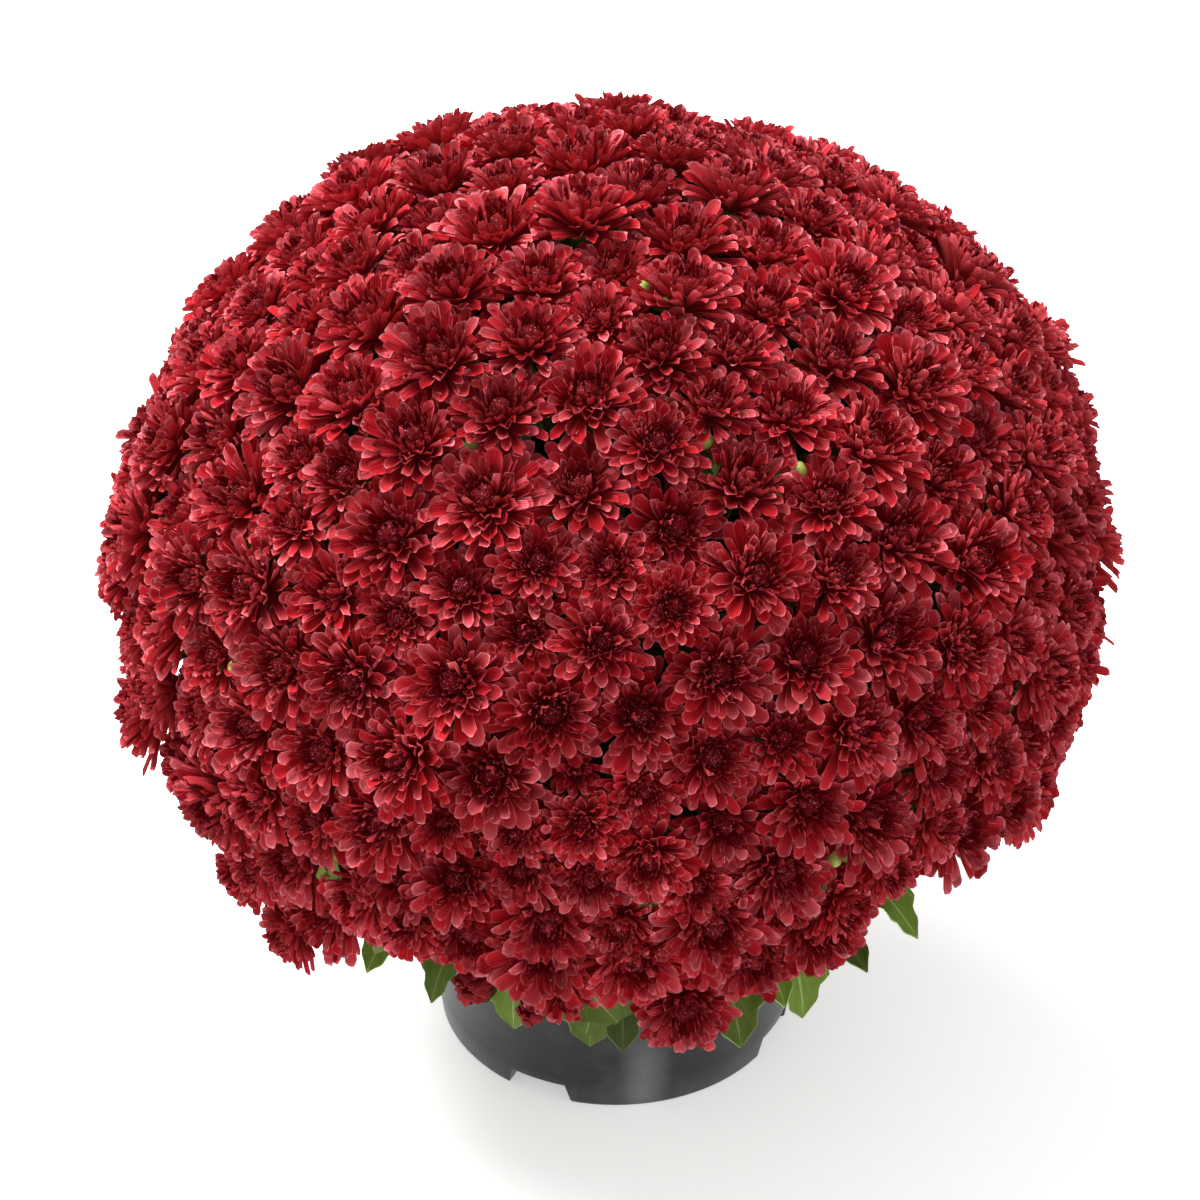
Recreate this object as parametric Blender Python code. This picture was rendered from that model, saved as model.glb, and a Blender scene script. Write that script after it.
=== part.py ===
"""A pot chrysanthemum: a ball of double crimson blooms on leafy stems, in a black pot.

Everything is in metres with +Z up. The origin is the centre of the pot's base.
An azimuth of 0 faces the viewer, along -Y, and a positive one turns towards +X.
"""

import math

import bmesh
import bpy
import numpy as np
from mathutils.bvhtree import BVHTree

# Pot
POT_BASE_RADIUS = 0.089
POT_RIM_RADIUS = 0.103
POT_HEIGHT = 0.140
POT_WALL = 0.0022
POT_FLOOR = 0.003
POT_SIDES = 24
LIP_HEIGHT = 0.007
LIP_OVERHANG = 0.003
NOTCH_COUNT = 4
NOTCH_AZIMUTH = math.radians(-25.5)
NOTCH_WIDTHS = (0.040, 0.029)
NOTCH_DEPTH = 0.027
NOTCH_HEIGHT = 0.012
DRAIN_RADIUS = 0.0045
CUT_PAST = 0.010

# Potting soil
SOIL_TOP = 0.122
HOLE_DEPTH = 0.030
HOLE_RADIUS = 0.0045

# Ball of blooms: the ellipsoid that the blooms' petals spread on
BALL_CENTRE = np.array([-0.003, 0.0, 0.268])
BALL_SEMI_AXES = np.array([0.226, 0.226, 0.197])
SKIRT_HEIGHT = 0.152
# How low the blooms hang round the plant: azimuth in degrees and height
SKIRT_AZIMUTHS = (-75, -60, -46, -36, -25, 0, 18, 28, 39, 55, 64, 74, 88)
SKIRT_HEIGHTS = (
    0.152, 0.150, 0.155, 0.190, 0.205, 0.205, 0.190, 0.200, 0.230, 0.228, 0.205, 0.176, 0.152)

# Blooms
BLOOM_SEED = 7
BLOOM_COUNT = 376
BLOOM_PITCH = 0.0384
BLOOM_SIZE_RANGE = (0.80, 1.20)
BLOOM_LEVEL_RANGE = (-0.006, 0.004)
BLOOM_TILT = 0.12
BLOOM_LOOKS_UP = 0.26
LOW_BLOOM_LOOKS_UP = 0.60
BIG_BLOOM = 1.00
START_JITTER = 0.03
RELAX_STEPS = 160
RELAX_RATE = 0.22
WALL_SEARCH = 2.6
JOIN_SEARCH = 1.7
JOIN_TRIES = 3
LEAST_SLOPE = 0.001
SPRAY_COUNT = 48
SPRAY_STEPS = 30

# The blooms over the pot's front that the photo shows one by one: azimuth in degrees, height,
# size, and how far each stands out from the ball
PINNED_BLOOMS = (
    (-55, 0.171, 0.85, 0.008),
    (-46, 0.154, 0.80, 0.019),
    (-34, 0.253, 0.85, 0),
    (-30, 0.214, 1.00, 0),
    (-18, 0.274, 0.70, 0),
    (-17, 0.243, 0.95, 0),
    (-10, 0.273, 0.65, 0),
    (-7, 0.224, 1.00, 0),
    (-7, 0.162, 0.70, 0),
    (-3, 0.280, 0.80, 0),
    (1, 0.221, 0.80, 0),
    (4, 0.262, 0.90, 0),
    (9, 0.245, 0.80, 0),
    (10, 0.147, 1.05, 0.012),
    (18, 0.183, 1.05, 0),
    (19, 0.245, 1.00, 0),
    (28, 0.209, 0.85, 0),
    (33, 0.226, 0.75, 0),
    (39, 0.242, 0.85, 0),
)

# One bloom's outer tips, notches and inner tips: shares of a petal's turn, radius and rise
BLOOM_RINGS = ((0.0, 1.00, -0.08), (0.5, 0.66, -0.14), (0.5, 0.58, 0.30))
HEART_RISE = 0.14
BACK_RISE = -0.72
BLOOM_SPREAD = 0.60
PETAL_LENGTHS = (0.93, 1.00)

# Leafy stems
STEM_COUNT = 6
STEM_CIRCLE = 0.034
STEM_LEAN = 0.045
STEM_RADIUS = 0.0036
STEM_TAPER = (0.90, 0.60)
COLLAR_RISE = 0.004
STEM_TOP = 0.310
BRANCH_START = 0.153
BRANCH_RADIUS = 0.0015
BRANCH_TIP_RADIUS = 0.0007
LEAF_OUTLINE = ((0.44, 0.22), (0.55, 0.12), (0.78, 0.17))
LEAF_MIDDLE = 0.50
LEAF_FOLD = 0.10
LEAF_FALL = (0.35, 0.90)
LEAF_STALK_WIDTH = 0.0012
LEAF_THICKNESS = 0.0009
LEAF_HEIGHTS = (0.1440, 0.1452, 0.1464, 0.1476)
STALK_RADIUS = 0.0012
SECTOR_SHIFT = math.radians(8)

# The lower leaves the photo shows: azimuth and droop in degrees, start from the axis, length,
# and which of the heights each starts at
FRONT_LEAVES = (
    (-44, 44, 0.122, 0.052, 1),
    (-36, 14, 0.112, 0.045, 3),
    (-32, 52, 0.122, 0.050, 0),
    (-20, 80, 0.112, 0.062, 1),
    (-5, 80, 0.112, 0.064, 0),
    (1, 60, 0.112, 0.064, 2),
    (20, 52, 0.116, 0.064, 0),
    (28, 40, 0.112, 0.058, 2),
    (34, 72, 0.122, 0.060, 1),
    (42, 30, 0.112, 0.062, 3),
    (56, 42, 0.125, 0.052, 0),
)
# The other lower leaves, evenly spaced round the back
BACK_LEAF_AZIMUTHS = np.linspace(76, 296, 12)
BACK_LEAF_DROOP = 52
BACK_LEAF_START = 0.112
BACK_LEAF_LENGTH = 0.047
BACK_LEAF_SWING = 0.10

# Half-open buds: azimuth, distance from the axis, height and radius of each
BUDS = (
    (math.radians(-24.5), 0.158, 0.125, 0.0110),
    (math.radians(-14.6), 0.155, 0.115, 0.0080),
    (math.radians(3.8), 0.150, 0.125, 0.0085),
    (math.radians(13.4), 0.147, 0.145, 0.0075),
)
BUD_KNEE = (0.112, 0.1495)
BUD_SIDES = 6
# A bud's rings: share of a turn, radius and rise, as shares of its radius
BUD_RINGS = ((0, 0.60, -0.50), (0, 1.00, 0.10), (0.5, 0.72, 0.70))
BUD_HEART_RISE = 0.45
BUD_LOOKS_UP = 0.45
CUP_DEPTH = 0.0025
CUP_RADII = (0.45, 0.75)

GAP = 0.0003
GOLDEN_ANGLE = math.pi * (3 - math.sqrt(5))
UP = np.array([0.0, 0.0, 1.0])


def clear_scene():
    for obj in list(bpy.data.objects):
        bpy.data.objects.remove(obj, do_unlink=True)


def make_material(name, colour, roughness):
    material = bpy.data.materials.new(name)
    material.use_nodes = True
    shader = material.node_tree.nodes["Principled BSDF"]
    shader.inputs["Base Color"].default_value = (*colour, 1)
    shader.inputs["Roughness"].default_value = roughness
    return material


def unit(vector):
    return vector / np.linalg.norm(vector)


def outward(azimuth):
    return np.array([math.sin(azimuth), -math.cos(azimuth), 0.0])


def frame_across(axis):
    """Two unit vectors across an axis."""
    side = unit(np.cross(axis, UP if abs(axis[2]) < 0.9 else np.array([1.0, 0.0, 0.0])))
    return side, np.cross(axis, side)


def add_object(name, vertices, faces, material):
    """An object from points and faces, with every face turned outwards."""
    mesh = bpy.data.meshes.new(name)
    mesh.from_pydata([tuple(map(float, v)) for v in vertices], [], faces)
    shape = bmesh.new()
    shape.from_mesh(mesh)
    bmesh.ops.recalc_face_normals(shape, faces=shape.faces)
    shape.to_mesh(mesh)
    shape.free()
    mesh.materials.append(material)
    obj = bpy.data.objects.new(name, mesh)
    bpy.context.scene.collection.objects.link(obj)
    return obj


def add_tube(name, stops, sides, material):
    """A closed tube through (centre, radius) stops, each ring square to the way through it."""
    centres = [centre for centre, _ in stops]
    across = frame_across(unit(centres[-1] - centres[0]))[0]
    vertices = []
    for k, (centre, radius) in enumerate(stops):
        axis = unit(centres[min(k + 1, len(stops) - 1)] - centres[max(k - 1, 0)])
        side = unit(across - (across @ axis) * axis)
        along = np.cross(axis, side)
        for corner in range(sides):
            turn = 2 * math.pi * corner / sides
            vertices.append(centre + radius * (math.cos(turn) * side + math.sin(turn) * along))
    last = len(vertices) - sides
    faces = [tuple(range(sides)), tuple(range(last, last + sides))]
    for first in range(0, last, sides):
        for corner in range(sides):
            after = (corner + 1) % sides
            faces.append((first + corner, first + after, first + sides + after))
            faces.append((first + corner, first + sides + after, first + sides + corner))
    return add_object(name, vertices, faces, material)


def add_prism(name, start, end, start_radius, end_radius, sides, material):
    """A straight tapered prism between two points."""
    return add_tube(name, ((start, start_radius), (end, end_radius)), sides, material)


def add_notch_block(name, azimuth, near, far, margin, bottom, top, material):
    """A block that runs outwards along an azimuth, wider than a notch by a margin at each side."""
    direction = outward(azimuth)
    across = np.cross(UP, direction)
    vertices = []
    for height in (bottom, top):
        half = np.interp(height, (0, NOTCH_HEIGHT), NOTCH_WIDTHS) / 2 + margin
        for reach, side in ((near, -1), (near, 1), (far, 1), (far, -1)):
            vertices.append(reach * direction + side * half * across + height * UP)
    faces = [(0, 1, 2, 3), (4, 5, 6, 7), (0, 1, 5, 4), (1, 2, 6, 5), (2, 3, 7, 6), (3, 0, 4, 7)]
    return add_object(name, vertices, faces, material)


def turned(name, profile, sides, material):
    """A solid turned round Z from (radius, height) points, with a flat cap at each end."""
    vertices = []
    for radius, height in profile:
        for k in range(sides):
            turn = 2 * math.pi * k / sides
            vertices.append((radius * math.cos(turn), radius * math.sin(turn), height))
    last = len(vertices) - sides
    faces = [tuple(range(sides)), tuple(range(last, last + sides))]
    for first in range(0, last, sides):
        for k in range(sides):
            after = (k + 1) % sides
            faces.append((first + k, first + after, first + sides + after, first + sides + k))
    return add_object(name, vertices, faces, material)


def apply_modifiers(obj):
    graph = bpy.context.evaluated_depsgraph_get()
    mesh = bpy.data.meshes.new_from_object(obj.evaluated_get(graph))
    obj.modifiers.clear()
    obj.data = mesh


def boolean(obj, others, operation):
    """One Boolean of an object with a collection of others, which are then removed."""
    collection = bpy.data.collections.new(obj.name + "_others")
    bpy.context.scene.collection.children.link(collection)
    for other in others:
        collection.objects.link(other)
    modifier = obj.modifiers.new("Boolean", "BOOLEAN")
    modifier.operation = operation
    modifier.operand_type = "COLLECTION"
    modifier.collection = collection
    modifier.solver = "EXACT"
    apply_modifiers(obj)
    for other in others:
        bpy.data.objects.remove(other, do_unlink=True)
    bpy.data.collections.remove(collection)


# The pot

def pot_radius(height):
    """The pot's outer radius at a height, without the lip."""
    return POT_BASE_RADIUS + (POT_RIM_RADIUS - POT_BASE_RADIUS) * height / POT_HEIGHT


def notch_azimuths():
    return [NOTCH_AZIMUTH + 2 * math.pi * k / NOTCH_COUNT for k in range(NOTCH_COUNT)]


def make_pot(material):
    """A thin tapered shell with a lip and drainage notches cut into its bottom corner."""
    lip_bottom = POT_HEIGHT - LIP_HEIGHT
    outside = [
        (POT_BASE_RADIUS, 0),
        (pot_radius(lip_bottom), lip_bottom),
        (pot_radius(lip_bottom) + LIP_OVERHANG, lip_bottom),
        (pot_radius(POT_HEIGHT) + LIP_OVERHANG, POT_HEIGHT),
    ]
    inside = [
        (pot_radius(POT_HEIGHT) - POT_WALL, POT_HEIGHT),
        (pot_radius(POT_FLOOR) - POT_WALL, POT_FLOOR),
    ]
    pot = turned("pot", outside + inside, POT_SIDES, material)
    inner_end = POT_BASE_RADIUS - NOTCH_DEPTH
    mid_wall = [(pot_radius(z) - POT_WALL / 2, z) for z in (0, POT_HEIGHT / 2)]
    roofs = []
    channels = []
    for azimuth in notch_azimuths():
        roof = add_notch_block(
            "roof", azimuth, inner_end - POT_WALL, POT_RIM_RADIUS,
            POT_WALL, POT_FLOOR / 2, NOTCH_HEIGHT + POT_WALL, material)
        boolean(roof, [turned("core", mid_wall, POT_SIDES, material)], "INTERSECT")
        roofs.append(roof)
        channels.append(add_notch_block(
            "channel", azimuth, inner_end, POT_BASE_RADIUS + CUT_PAST,
            0, -CUT_PAST, NOTCH_HEIGHT, material))
        drain = (POT_BASE_RADIUS - NOTCH_DEPTH / 2) * outward(azimuth)
        channels.append(add_prism(
            "drain", drain + NOTCH_HEIGHT / 2 * UP, drain + (NOTCH_HEIGHT + CUT_PAST) * UP,
            DRAIN_RADIUS, DRAIN_RADIUS, 6, material))
    boolean(pot, roofs, "UNION")
    boolean(pot, channels, "DIFFERENCE")


def stem_azimuths():
    return [2 * math.pi * (k + 0.5) / STEM_COUNT for k in range(STEM_COUNT)]


def make_soil(material):
    """The potting soil, with a plain hole for each stem and room for the drainage channels."""
    bottom = POT_FLOOR + GAP
    profile = [
        (pot_radius(bottom) - POT_WALL - 2 * GAP, bottom),
        (pot_radius(SOIL_TOP) - POT_WALL - 2 * GAP, SOIL_TOP),
    ]
    soil = turned("potting_soil", profile, POT_SIDES, material)
    cutters = []
    for azimuth in notch_azimuths():
        cutters.append(add_notch_block(
            "room", azimuth, POT_BASE_RADIUS - NOTCH_DEPTH - POT_WALL - GAP, POT_RIM_RADIUS,
            POT_WALL + GAP, 0, NOTCH_HEIGHT + POT_WALL + GAP, material))
    for azimuth in stem_azimuths():
        foot = STEM_CIRCLE * outward(azimuth)
        cutters.append(add_prism(
            "hole", foot + (SOIL_TOP - HOLE_DEPTH) * UP, foot + (SOIL_TOP + CUT_PAST) * UP,
            HOLE_RADIUS, HOLE_RADIUS, 6, material))
    boolean(soil, cutters, "DIFFERENCE")


# The blooms' places

def skirt_limit(azimuth):
    """The lowest height of a bloom's centre; the skirt is lifted over the pot's front."""
    return np.interp(np.degrees(azimuth), SKIRT_AZIMUTHS, SKIRT_HEIGHTS)


def onto_ball(points):
    """Points moved onto the ball, no lower than its skirt."""
    rays = (points - BALL_CENTRE) / BALL_SEMI_AXES
    rays /= np.linalg.norm(rays, axis=1)[:, None]
    azimuth = np.arctan2(rays[:, 0], -rays[:, 1])
    lowest = (skirt_limit(azimuth) - BALL_CENTRE[2]) / BALL_SEMI_AXES[2]
    rise = np.maximum(rays[:, 2], lowest)
    flat = np.sqrt(1 - rise ** 2) / np.linalg.norm(rays[:, :2], axis=1)
    rays = np.column_stack([rays[:, 0] * flat, rays[:, 1] * flat, rise])
    return BALL_CENTRE + rays * BALL_SEMI_AXES


def spiral(count):
    """Evenly spread rays from the ball's crown down to its skirt, a golden angle apart."""
    order = np.arange(count) + 0.5
    lowest = (SKIRT_HEIGHT - BALL_CENTRE[2]) / BALL_SEMI_AXES[2]
    rise = 1 - (1 - lowest) * order / count
    flat = np.sqrt(1 - rise ** 2)
    turn = order * GOLDEN_ANGLE
    return np.column_stack([flat * np.sin(turn), -flat * np.cos(turn), rise])


def pin_blooms(centres, size):
    """The blooms nearest to the pinned places, which take their sizes, and those places."""
    pinned = []
    places = []
    for azimuth, height, pinned_size, stands_out in PINNED_BLOOMS:
        rise = (height - BALL_CENTRE[2]) / BALL_SEMI_AXES[2]
        distance = BALL_SEMI_AXES[0] * math.sqrt(1 - rise ** 2) + stands_out
        place = np.array([BALL_CENTRE[0], 0, height]) + distance * outward(math.radians(azimuth))
        gaps = np.linalg.norm(centres - place, axis=1)
        gaps[pinned] = np.inf
        pinned.append(int(gaps.argmin()))
        places.append(place)
        size[pinned[-1]] = pinned_size
    return pinned, np.array(places)


def lay_out_blooms():
    """Centres, axes, sizes and turns of the blooms, by a spiral that is then relaxed."""
    draw = np.random.default_rng(BLOOM_SEED)
    size = draw.uniform(*BLOOM_SIZE_RANGE, BLOOM_COUNT)
    rays = spiral(BLOOM_COUNT)
    centres = BALL_CENTRE + (rays + draw.normal(0, START_JITTER, rays.shape)) * BALL_SEMI_AXES
    pinned, places = pin_blooms(centres, size)
    wanted = BLOOM_PITCH * (size[:, None] + size[None]) / 2
    for _ in range(RELAX_STEPS):
        centres = onto_ball(centres)
        centres[pinned] = places
        apart = centres[:, None] - centres[None]
        distance = np.linalg.norm(apart, axis=2) + np.eye(BLOOM_COUNT)
        push = np.clip(wanted - distance, 0, None) * (1 - np.eye(BLOOM_COUNT))
        centres = centres + RELAX_RATE * (apart / distance[..., None] * push[..., None]).sum(axis=1)
    centres = onto_ball(centres)
    axes = (centres - BALL_CENTRE) / BALL_SEMI_AXES ** 2
    axes /= np.linalg.norm(axes, axis=1)[:, None]
    centres = centres + axes * draw.uniform(*BLOOM_LEVEL_RANGE, BLOOM_COUNT)[:, None]
    centres[pinned] = places
    lift = BLOOM_LOOKS_UP + LOW_BLOOM_LOOKS_UP * np.clip(-axes[:, 2:], 0, None)
    axes = axes + lift * UP + draw.normal(0, BLOOM_TILT, axes.shape)
    axes /= np.linalg.norm(axes, axis=1)[:, None]
    turns = draw.uniform(0, 2 * math.pi, BLOOM_COUNT)
    return centres, axes, size, turns


class Walls:
    """Planes half-way between neighbouring blooms, which no petal crosses."""

    def __init__(self, centres, size):
        apart = centres[None] - centres[:, None]
        distance = np.linalg.norm(apart, axis=2) + np.eye(len(size))
        share = size[:, None] / (size[:, None] + size[None])
        self.normal = apart / distance[..., None]
        self.point = centres[:, None] + apart * share[..., None]
        self.near = (distance < WALL_SEARCH * BLOOM_PITCH) & ~np.eye(len(size), dtype=bool)
        self.distance = distance

    def past(self, own, place, near):
        """How far a place lies past a bloom's walls with the blooms marked near."""
        return ((place - self.point[own, near]) * self.normal[own, near]).sum(axis=1)

    def reach(self, own, start, direction, wanted):
        """How far a petal can run from a start before its wall."""
        near = self.near[own]
        slack = -GAP - self.past(own, start, near)
        rate = self.normal[own, near] @ direction
        facing = rate > LEAST_SLOPE
        return np.min(slack[facing] / rate[facing], initial=wanted)


class Bloom:
    """One double bloom: outer petals, a raised inner ring over the notches, and a cupped heart."""

    def __init__(self, own, centre, axis, size, turn, walls, draw):
        self.petals = 6 if size > BIG_BLOOM else 5
        self.radius = BLOOM_SPREAD * BLOOM_PITCH * size
        self.across, self.along = frame_across(axis)
        self.centre = centre
        self.turn = turn
        self.vertices = []
        for shift, radius_share, rise_share in BLOOM_RINGS:
            start = centre + axis * rise_share * self.radius
            for k in range(self.petals):
                direction = self.direction(k + shift)
                wanted = radius_share * self.radius * draw.uniform(*PETAL_LENGTHS)
                self.vertices.append(start + direction * walls.reach(own, start, direction, wanted))
        self.root = centre + axis * BACK_RISE * self.radius
        self.heart = len(self.vertices)
        self.back = self.heart + 1
        self.vertices.append(centre + axis * HEART_RISE * self.radius)
        self.vertices.append(self.root)

    def direction(self, step):
        angle = self.turn + 2 * math.pi * step / self.petals
        return math.cos(angle) * self.across + math.sin(angle) * self.along

    def faces(self):
        """Top and under faces, and the under faces by the half petal that they close."""
        count = self.petals
        faces = []
        under = []
        for k in range(count):
            before = (k - 1) % count
            tip, notch, notch_before = k, count + k, count + before
            inner, inner_before = 2 * count + k, 2 * count + before
            faces.append((inner_before, notch_before, tip))
            faces.append((inner_before, tip, inner))
            faces.append((inner, tip, notch))
            faces.append((self.heart, inner_before, inner))
            under.append((self.back, notch, tip))
            under.append((self.back, (k + 1) % count, notch))
        return faces, under


def half_petals_towards(bloom, target):
    """The bloom's half petals, by how nearly they face a target."""
    ahead = unit(target - bloom.centre)
    scores = []
    for half in range(2 * bloom.petals):
        scores.append((-(bloom.direction(half / 2 + 0.25) @ ahead), half))
    return [half for _, half in sorted(scores)]


def bridge_ends(first, second, first_face, second_face):
    """The corners of two under faces, matched back to back and side to side."""
    ahead = unit(second.centre - first.centre)
    up = unit(np.cross(first.across, first.along))
    right = np.cross(ahead, up)

    def sides(bloom, face):
        outer = sorted(face[1:], key=lambda v: (bloom.vertices[v] - bloom.centre) @ right)
        return face[0], outer[0], outer[1]

    return sides(first, first_face), sides(second, second_face)


def bridge_is_clear(own, other, first, second, ends, walls):
    """Whether a bridge stays on its two blooms' side of every other bloom's walls."""
    starts = [first.vertices[v] for v in ends[0]]
    stops = [second.vertices[v] for v in ends[1]]
    near = walls.near[own] | walls.near[other]
    near[[own, other]] = False
    for k in range(3):
        for share in np.linspace(0, 1, 5):
            for mix in (0, 0.5):
                start = starts[k] * (1 - mix) + starts[(k + 1) % 3] * mix
                stop = stops[k] * (1 - mix) + stops[(k + 1) % 3] * mix
                place = start * (1 - share) + stop * share
                past = np.minimum(walls.past(own, place, near), walls.past(other, place, near))
                if (past > 0).any():
                    return False
    return True


def bridge_faces(starts, stops, vertices):
    """The six triangles between two triangles, each side split along its shorter diagonal."""
    faces = []
    for k in range(3):
        after = (k + 1) % 3
        a, b, c, d = starts[k], starts[after], stops[after], stops[k]
        if np.linalg.norm(vertices[a] - vertices[c]) < np.linalg.norm(vertices[b] - vertices[d]):
            faces.extend([(a, b, c), (a, c, d)])
        else:
            faces.extend([(a, b, d), (b, c, d)])
    return faces


def shrunk(vertices, faces, share=0.03):
    """Triangles on points of their own, each drawn in a little towards its middle."""
    points = []
    for face in faces:
        corners = np.array([vertices[v] for v in face])
        points.extend(corners + (corners.mean(axis=0) - corners) * share)
    return points, [(3 * k, 3 * k + 1, 3 * k + 2) for k in range(len(faces))]


class Spray:
    """Several blooms and the bridges under their petals that join them into one body."""

    def __init__(self, members, blooms):
        self.members = members
        self.blooms = blooms
        self.first_of = {}
        self.vertices = []
        self.faces = []
        for own in members:
            self.first_of[own] = len(self.vertices)
            self.vertices.extend(blooms[own].vertices)
            top, under = blooms[own].faces()
            self.faces.extend(self.shifted(own, face) for face in top + under)

    def shifted(self, own, face):
        return tuple(v + self.first_of[own] for v in face)

    def try_bridge(self, own, other, walls):
        """Join two blooms by the first pair of free half petals with a clear way between."""
        first, second = self.blooms[own], self.blooms[other]
        first_under = first.faces()[1]
        second_under = second.faces()[1]
        for near_half in half_petals_towards(first, second.centre)[:JOIN_TRIES]:
            for far_half in half_petals_towards(second, first.centre)[:JOIN_TRIES]:
                near_face = self.shifted(own, first_under[near_half])
                far_face = self.shifted(other, second_under[far_half])
                if near_face not in self.faces or far_face not in self.faces:
                    continue
                ends = bridge_ends(first, second, first_under[near_half], second_under[far_half])
                if not bridge_is_clear(own, other, first, second, ends, walls):
                    continue
                starts, stops = self.shifted(own, ends[0]), self.shifted(other, ends[1])
                added = bridge_faces(starts, stops, self.vertices)
                kept = [face for face in self.faces if face not in (near_face, far_face)]
                solid = BVHTree.FromPolygons([list(v) for v in self.vertices], kept)
                points, triangles = shrunk(self.vertices, added)
                way = BVHTree.FromPolygons([list(v) for v in points], triangles)
                twisted = any(a != b for a, b in way.overlap(way))
                if not twisted and not solid.overlap(way):
                    self.faces = kept + added
                    return True
        return False

    def join(self, walls):
        """Join the blooms, nearest pairs first, and give those that stay apart."""
        pairs = []
        for own in self.members:
            for other in self.members:
                if own < other and walls.distance[own, other] < JOIN_SEARCH * BLOOM_PITCH:
                    pairs.append((walls.distance[own, other], own, other))
        group = {own: own for own in self.members}
        for _, own, other in sorted(pairs):
            if group[own] == group[other] or not self.try_bridge(own, other, walls):
                continue
            old, new = group[other], group[own]
            group = {member: new if mark == old else mark for member, mark in group.items()}
        marks = list(group.values())
        largest = max(set(marks), key=marks.count)
        return [own for own in self.members if group[own] != largest]


def group_sprays(centres):
    """The spray of each bloom: nearest of evenly spread seeds, moved to their blooms' middle."""
    seeds = onto_ball(BALL_CENTRE + spiral(SPRAY_COUNT) * BALL_SEMI_AXES)
    for _ in range(SPRAY_STEPS):
        spray = np.linalg.norm(centres[:, None] - seeds[None], axis=2).argmin(axis=1)
        seeds = np.array([centres[spray == k].mean(axis=0) for k in range(SPRAY_COUNT)])
    return spray


def make_sprays(material):
    centres, axes, size, turns = lay_out_blooms()
    walls = Walls(centres, size)
    draw = np.random.default_rng(BLOOM_SEED + 1)
    blooms = []
    for own in range(BLOOM_COUNT):
        blooms.append(Bloom(own, centres[own], axes[own], size[own], turns[own], walls, draw))
    grouping = group_sprays(centres)
    sprays = []
    for k in range(SPRAY_COUNT):
        spray = Spray([int(own) for own in np.flatnonzero(grouping == k)], blooms)
        left_out = spray.join(walls)
        if left_out:
            raise RuntimeError(f"blooms {left_out} stay apart in spray {k + 1}")
        add_object(f"spray_{k + 1:02d}", spray.vertices, spray.faces, material)
        sprays.append(spray.members)
    return blooms, sprays


# The leafy stems

def sector_turn(place):
    """How far a place turns from the middle of its nearest stem's sector, and that stem."""
    azimuth = math.atan2(place[0], -place[1])
    turns = [(azimuth - middle + math.pi) % (2 * math.pi) - math.pi for middle in stem_azimuths()]
    best = min(range(STEM_COUNT), key=lambda k: abs(turns[k]))
    return abs(turns[best]), best


def lower_leaves():
    """Azimuth, droop, start radius, length and height of every lower leaf."""
    leaves = list(FRONT_LEAVES)
    for k, azimuth in enumerate(BACK_LEAF_AZIMUTHS):
        length = BACK_LEAF_LENGTH * (1 + BACK_LEAF_SWING * math.sin(5 * math.radians(azimuth)))
        leaves.append((azimuth, BACK_LEAF_DROOP, BACK_LEAF_START, length, k % 2))
    return leaves


def leaf_sector(azimuth):
    """The stem that carries a lower leaf or bud."""
    return sector_turn(outward(azimuth - SECTOR_SHIFT))[1]


def add_leaf(stem_point, azimuth, droop, start_radius, length, material):
    """A lobed blade on a flat stalk, arching down past the rim, split alike on both faces."""
    direction = outward(azimuth)
    across = np.cross(UP, direction)
    base = start_radius * direction + stem_point[2] * UP

    def place(share, width, lift):
        """A point on the arched blade, which falls more steeply towards its tip."""
        steps = 8
        first, rest = LEAF_FALL
        position = base
        for step in range(steps):
            angle = droop * (first + rest * share * (step + 0.5) / steps)
            way = math.cos(angle) * direction - math.sin(angle) * UP
            position = position + share * length / steps * way
        angle = droop * (first + rest * share)
        normal = math.sin(angle) * direction + math.cos(angle) * UP
        fold = LEAF_FOLD * abs(width) * length
        return position + width * length * across + (lift + fold) * normal

    half = ((0, LEAF_STALK_WIDTH / length), *LEAF_OUTLINE)
    points = [*half, (1, 0), *[(share, -width) for share, width in reversed(half)]]
    rim = len(points) + 2
    vertices = []
    for lift in (LEAF_THICKNESS / 2, -LEAF_THICKNESS / 2):
        for side in (-1, 1):
            vertices.append(stem_point + side * LEAF_STALK_WIDTH * across + lift * UP)
        vertices.extend(place(share, width, lift) for share, width in points)
        vertices.append(place(LEAF_MIDDLE, 0, lift))
    top = [(0, 1, 2), (0, 2, rim - 1), (rim, rim - 1, 2)]
    top += [(rim, k, k + 1) for k in range(2, rim - 1)]
    faces = top + [tuple(v + rim + 1 for v in reversed(face)) for face in top]
    for k in range(rim):
        after = (k + 1) % rim
        faces.append((k, rim + 1 + k, rim + 1 + after))
        faces.append((k, rim + 1 + after, after))
    return add_object("leaf", vertices, faces, material)


def bud_axis(azimuth):
    """The way a bud faces: out from the pot and a little up."""
    return unit(outward(azimuth) + BUD_LOOKS_UP * UP)


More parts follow.
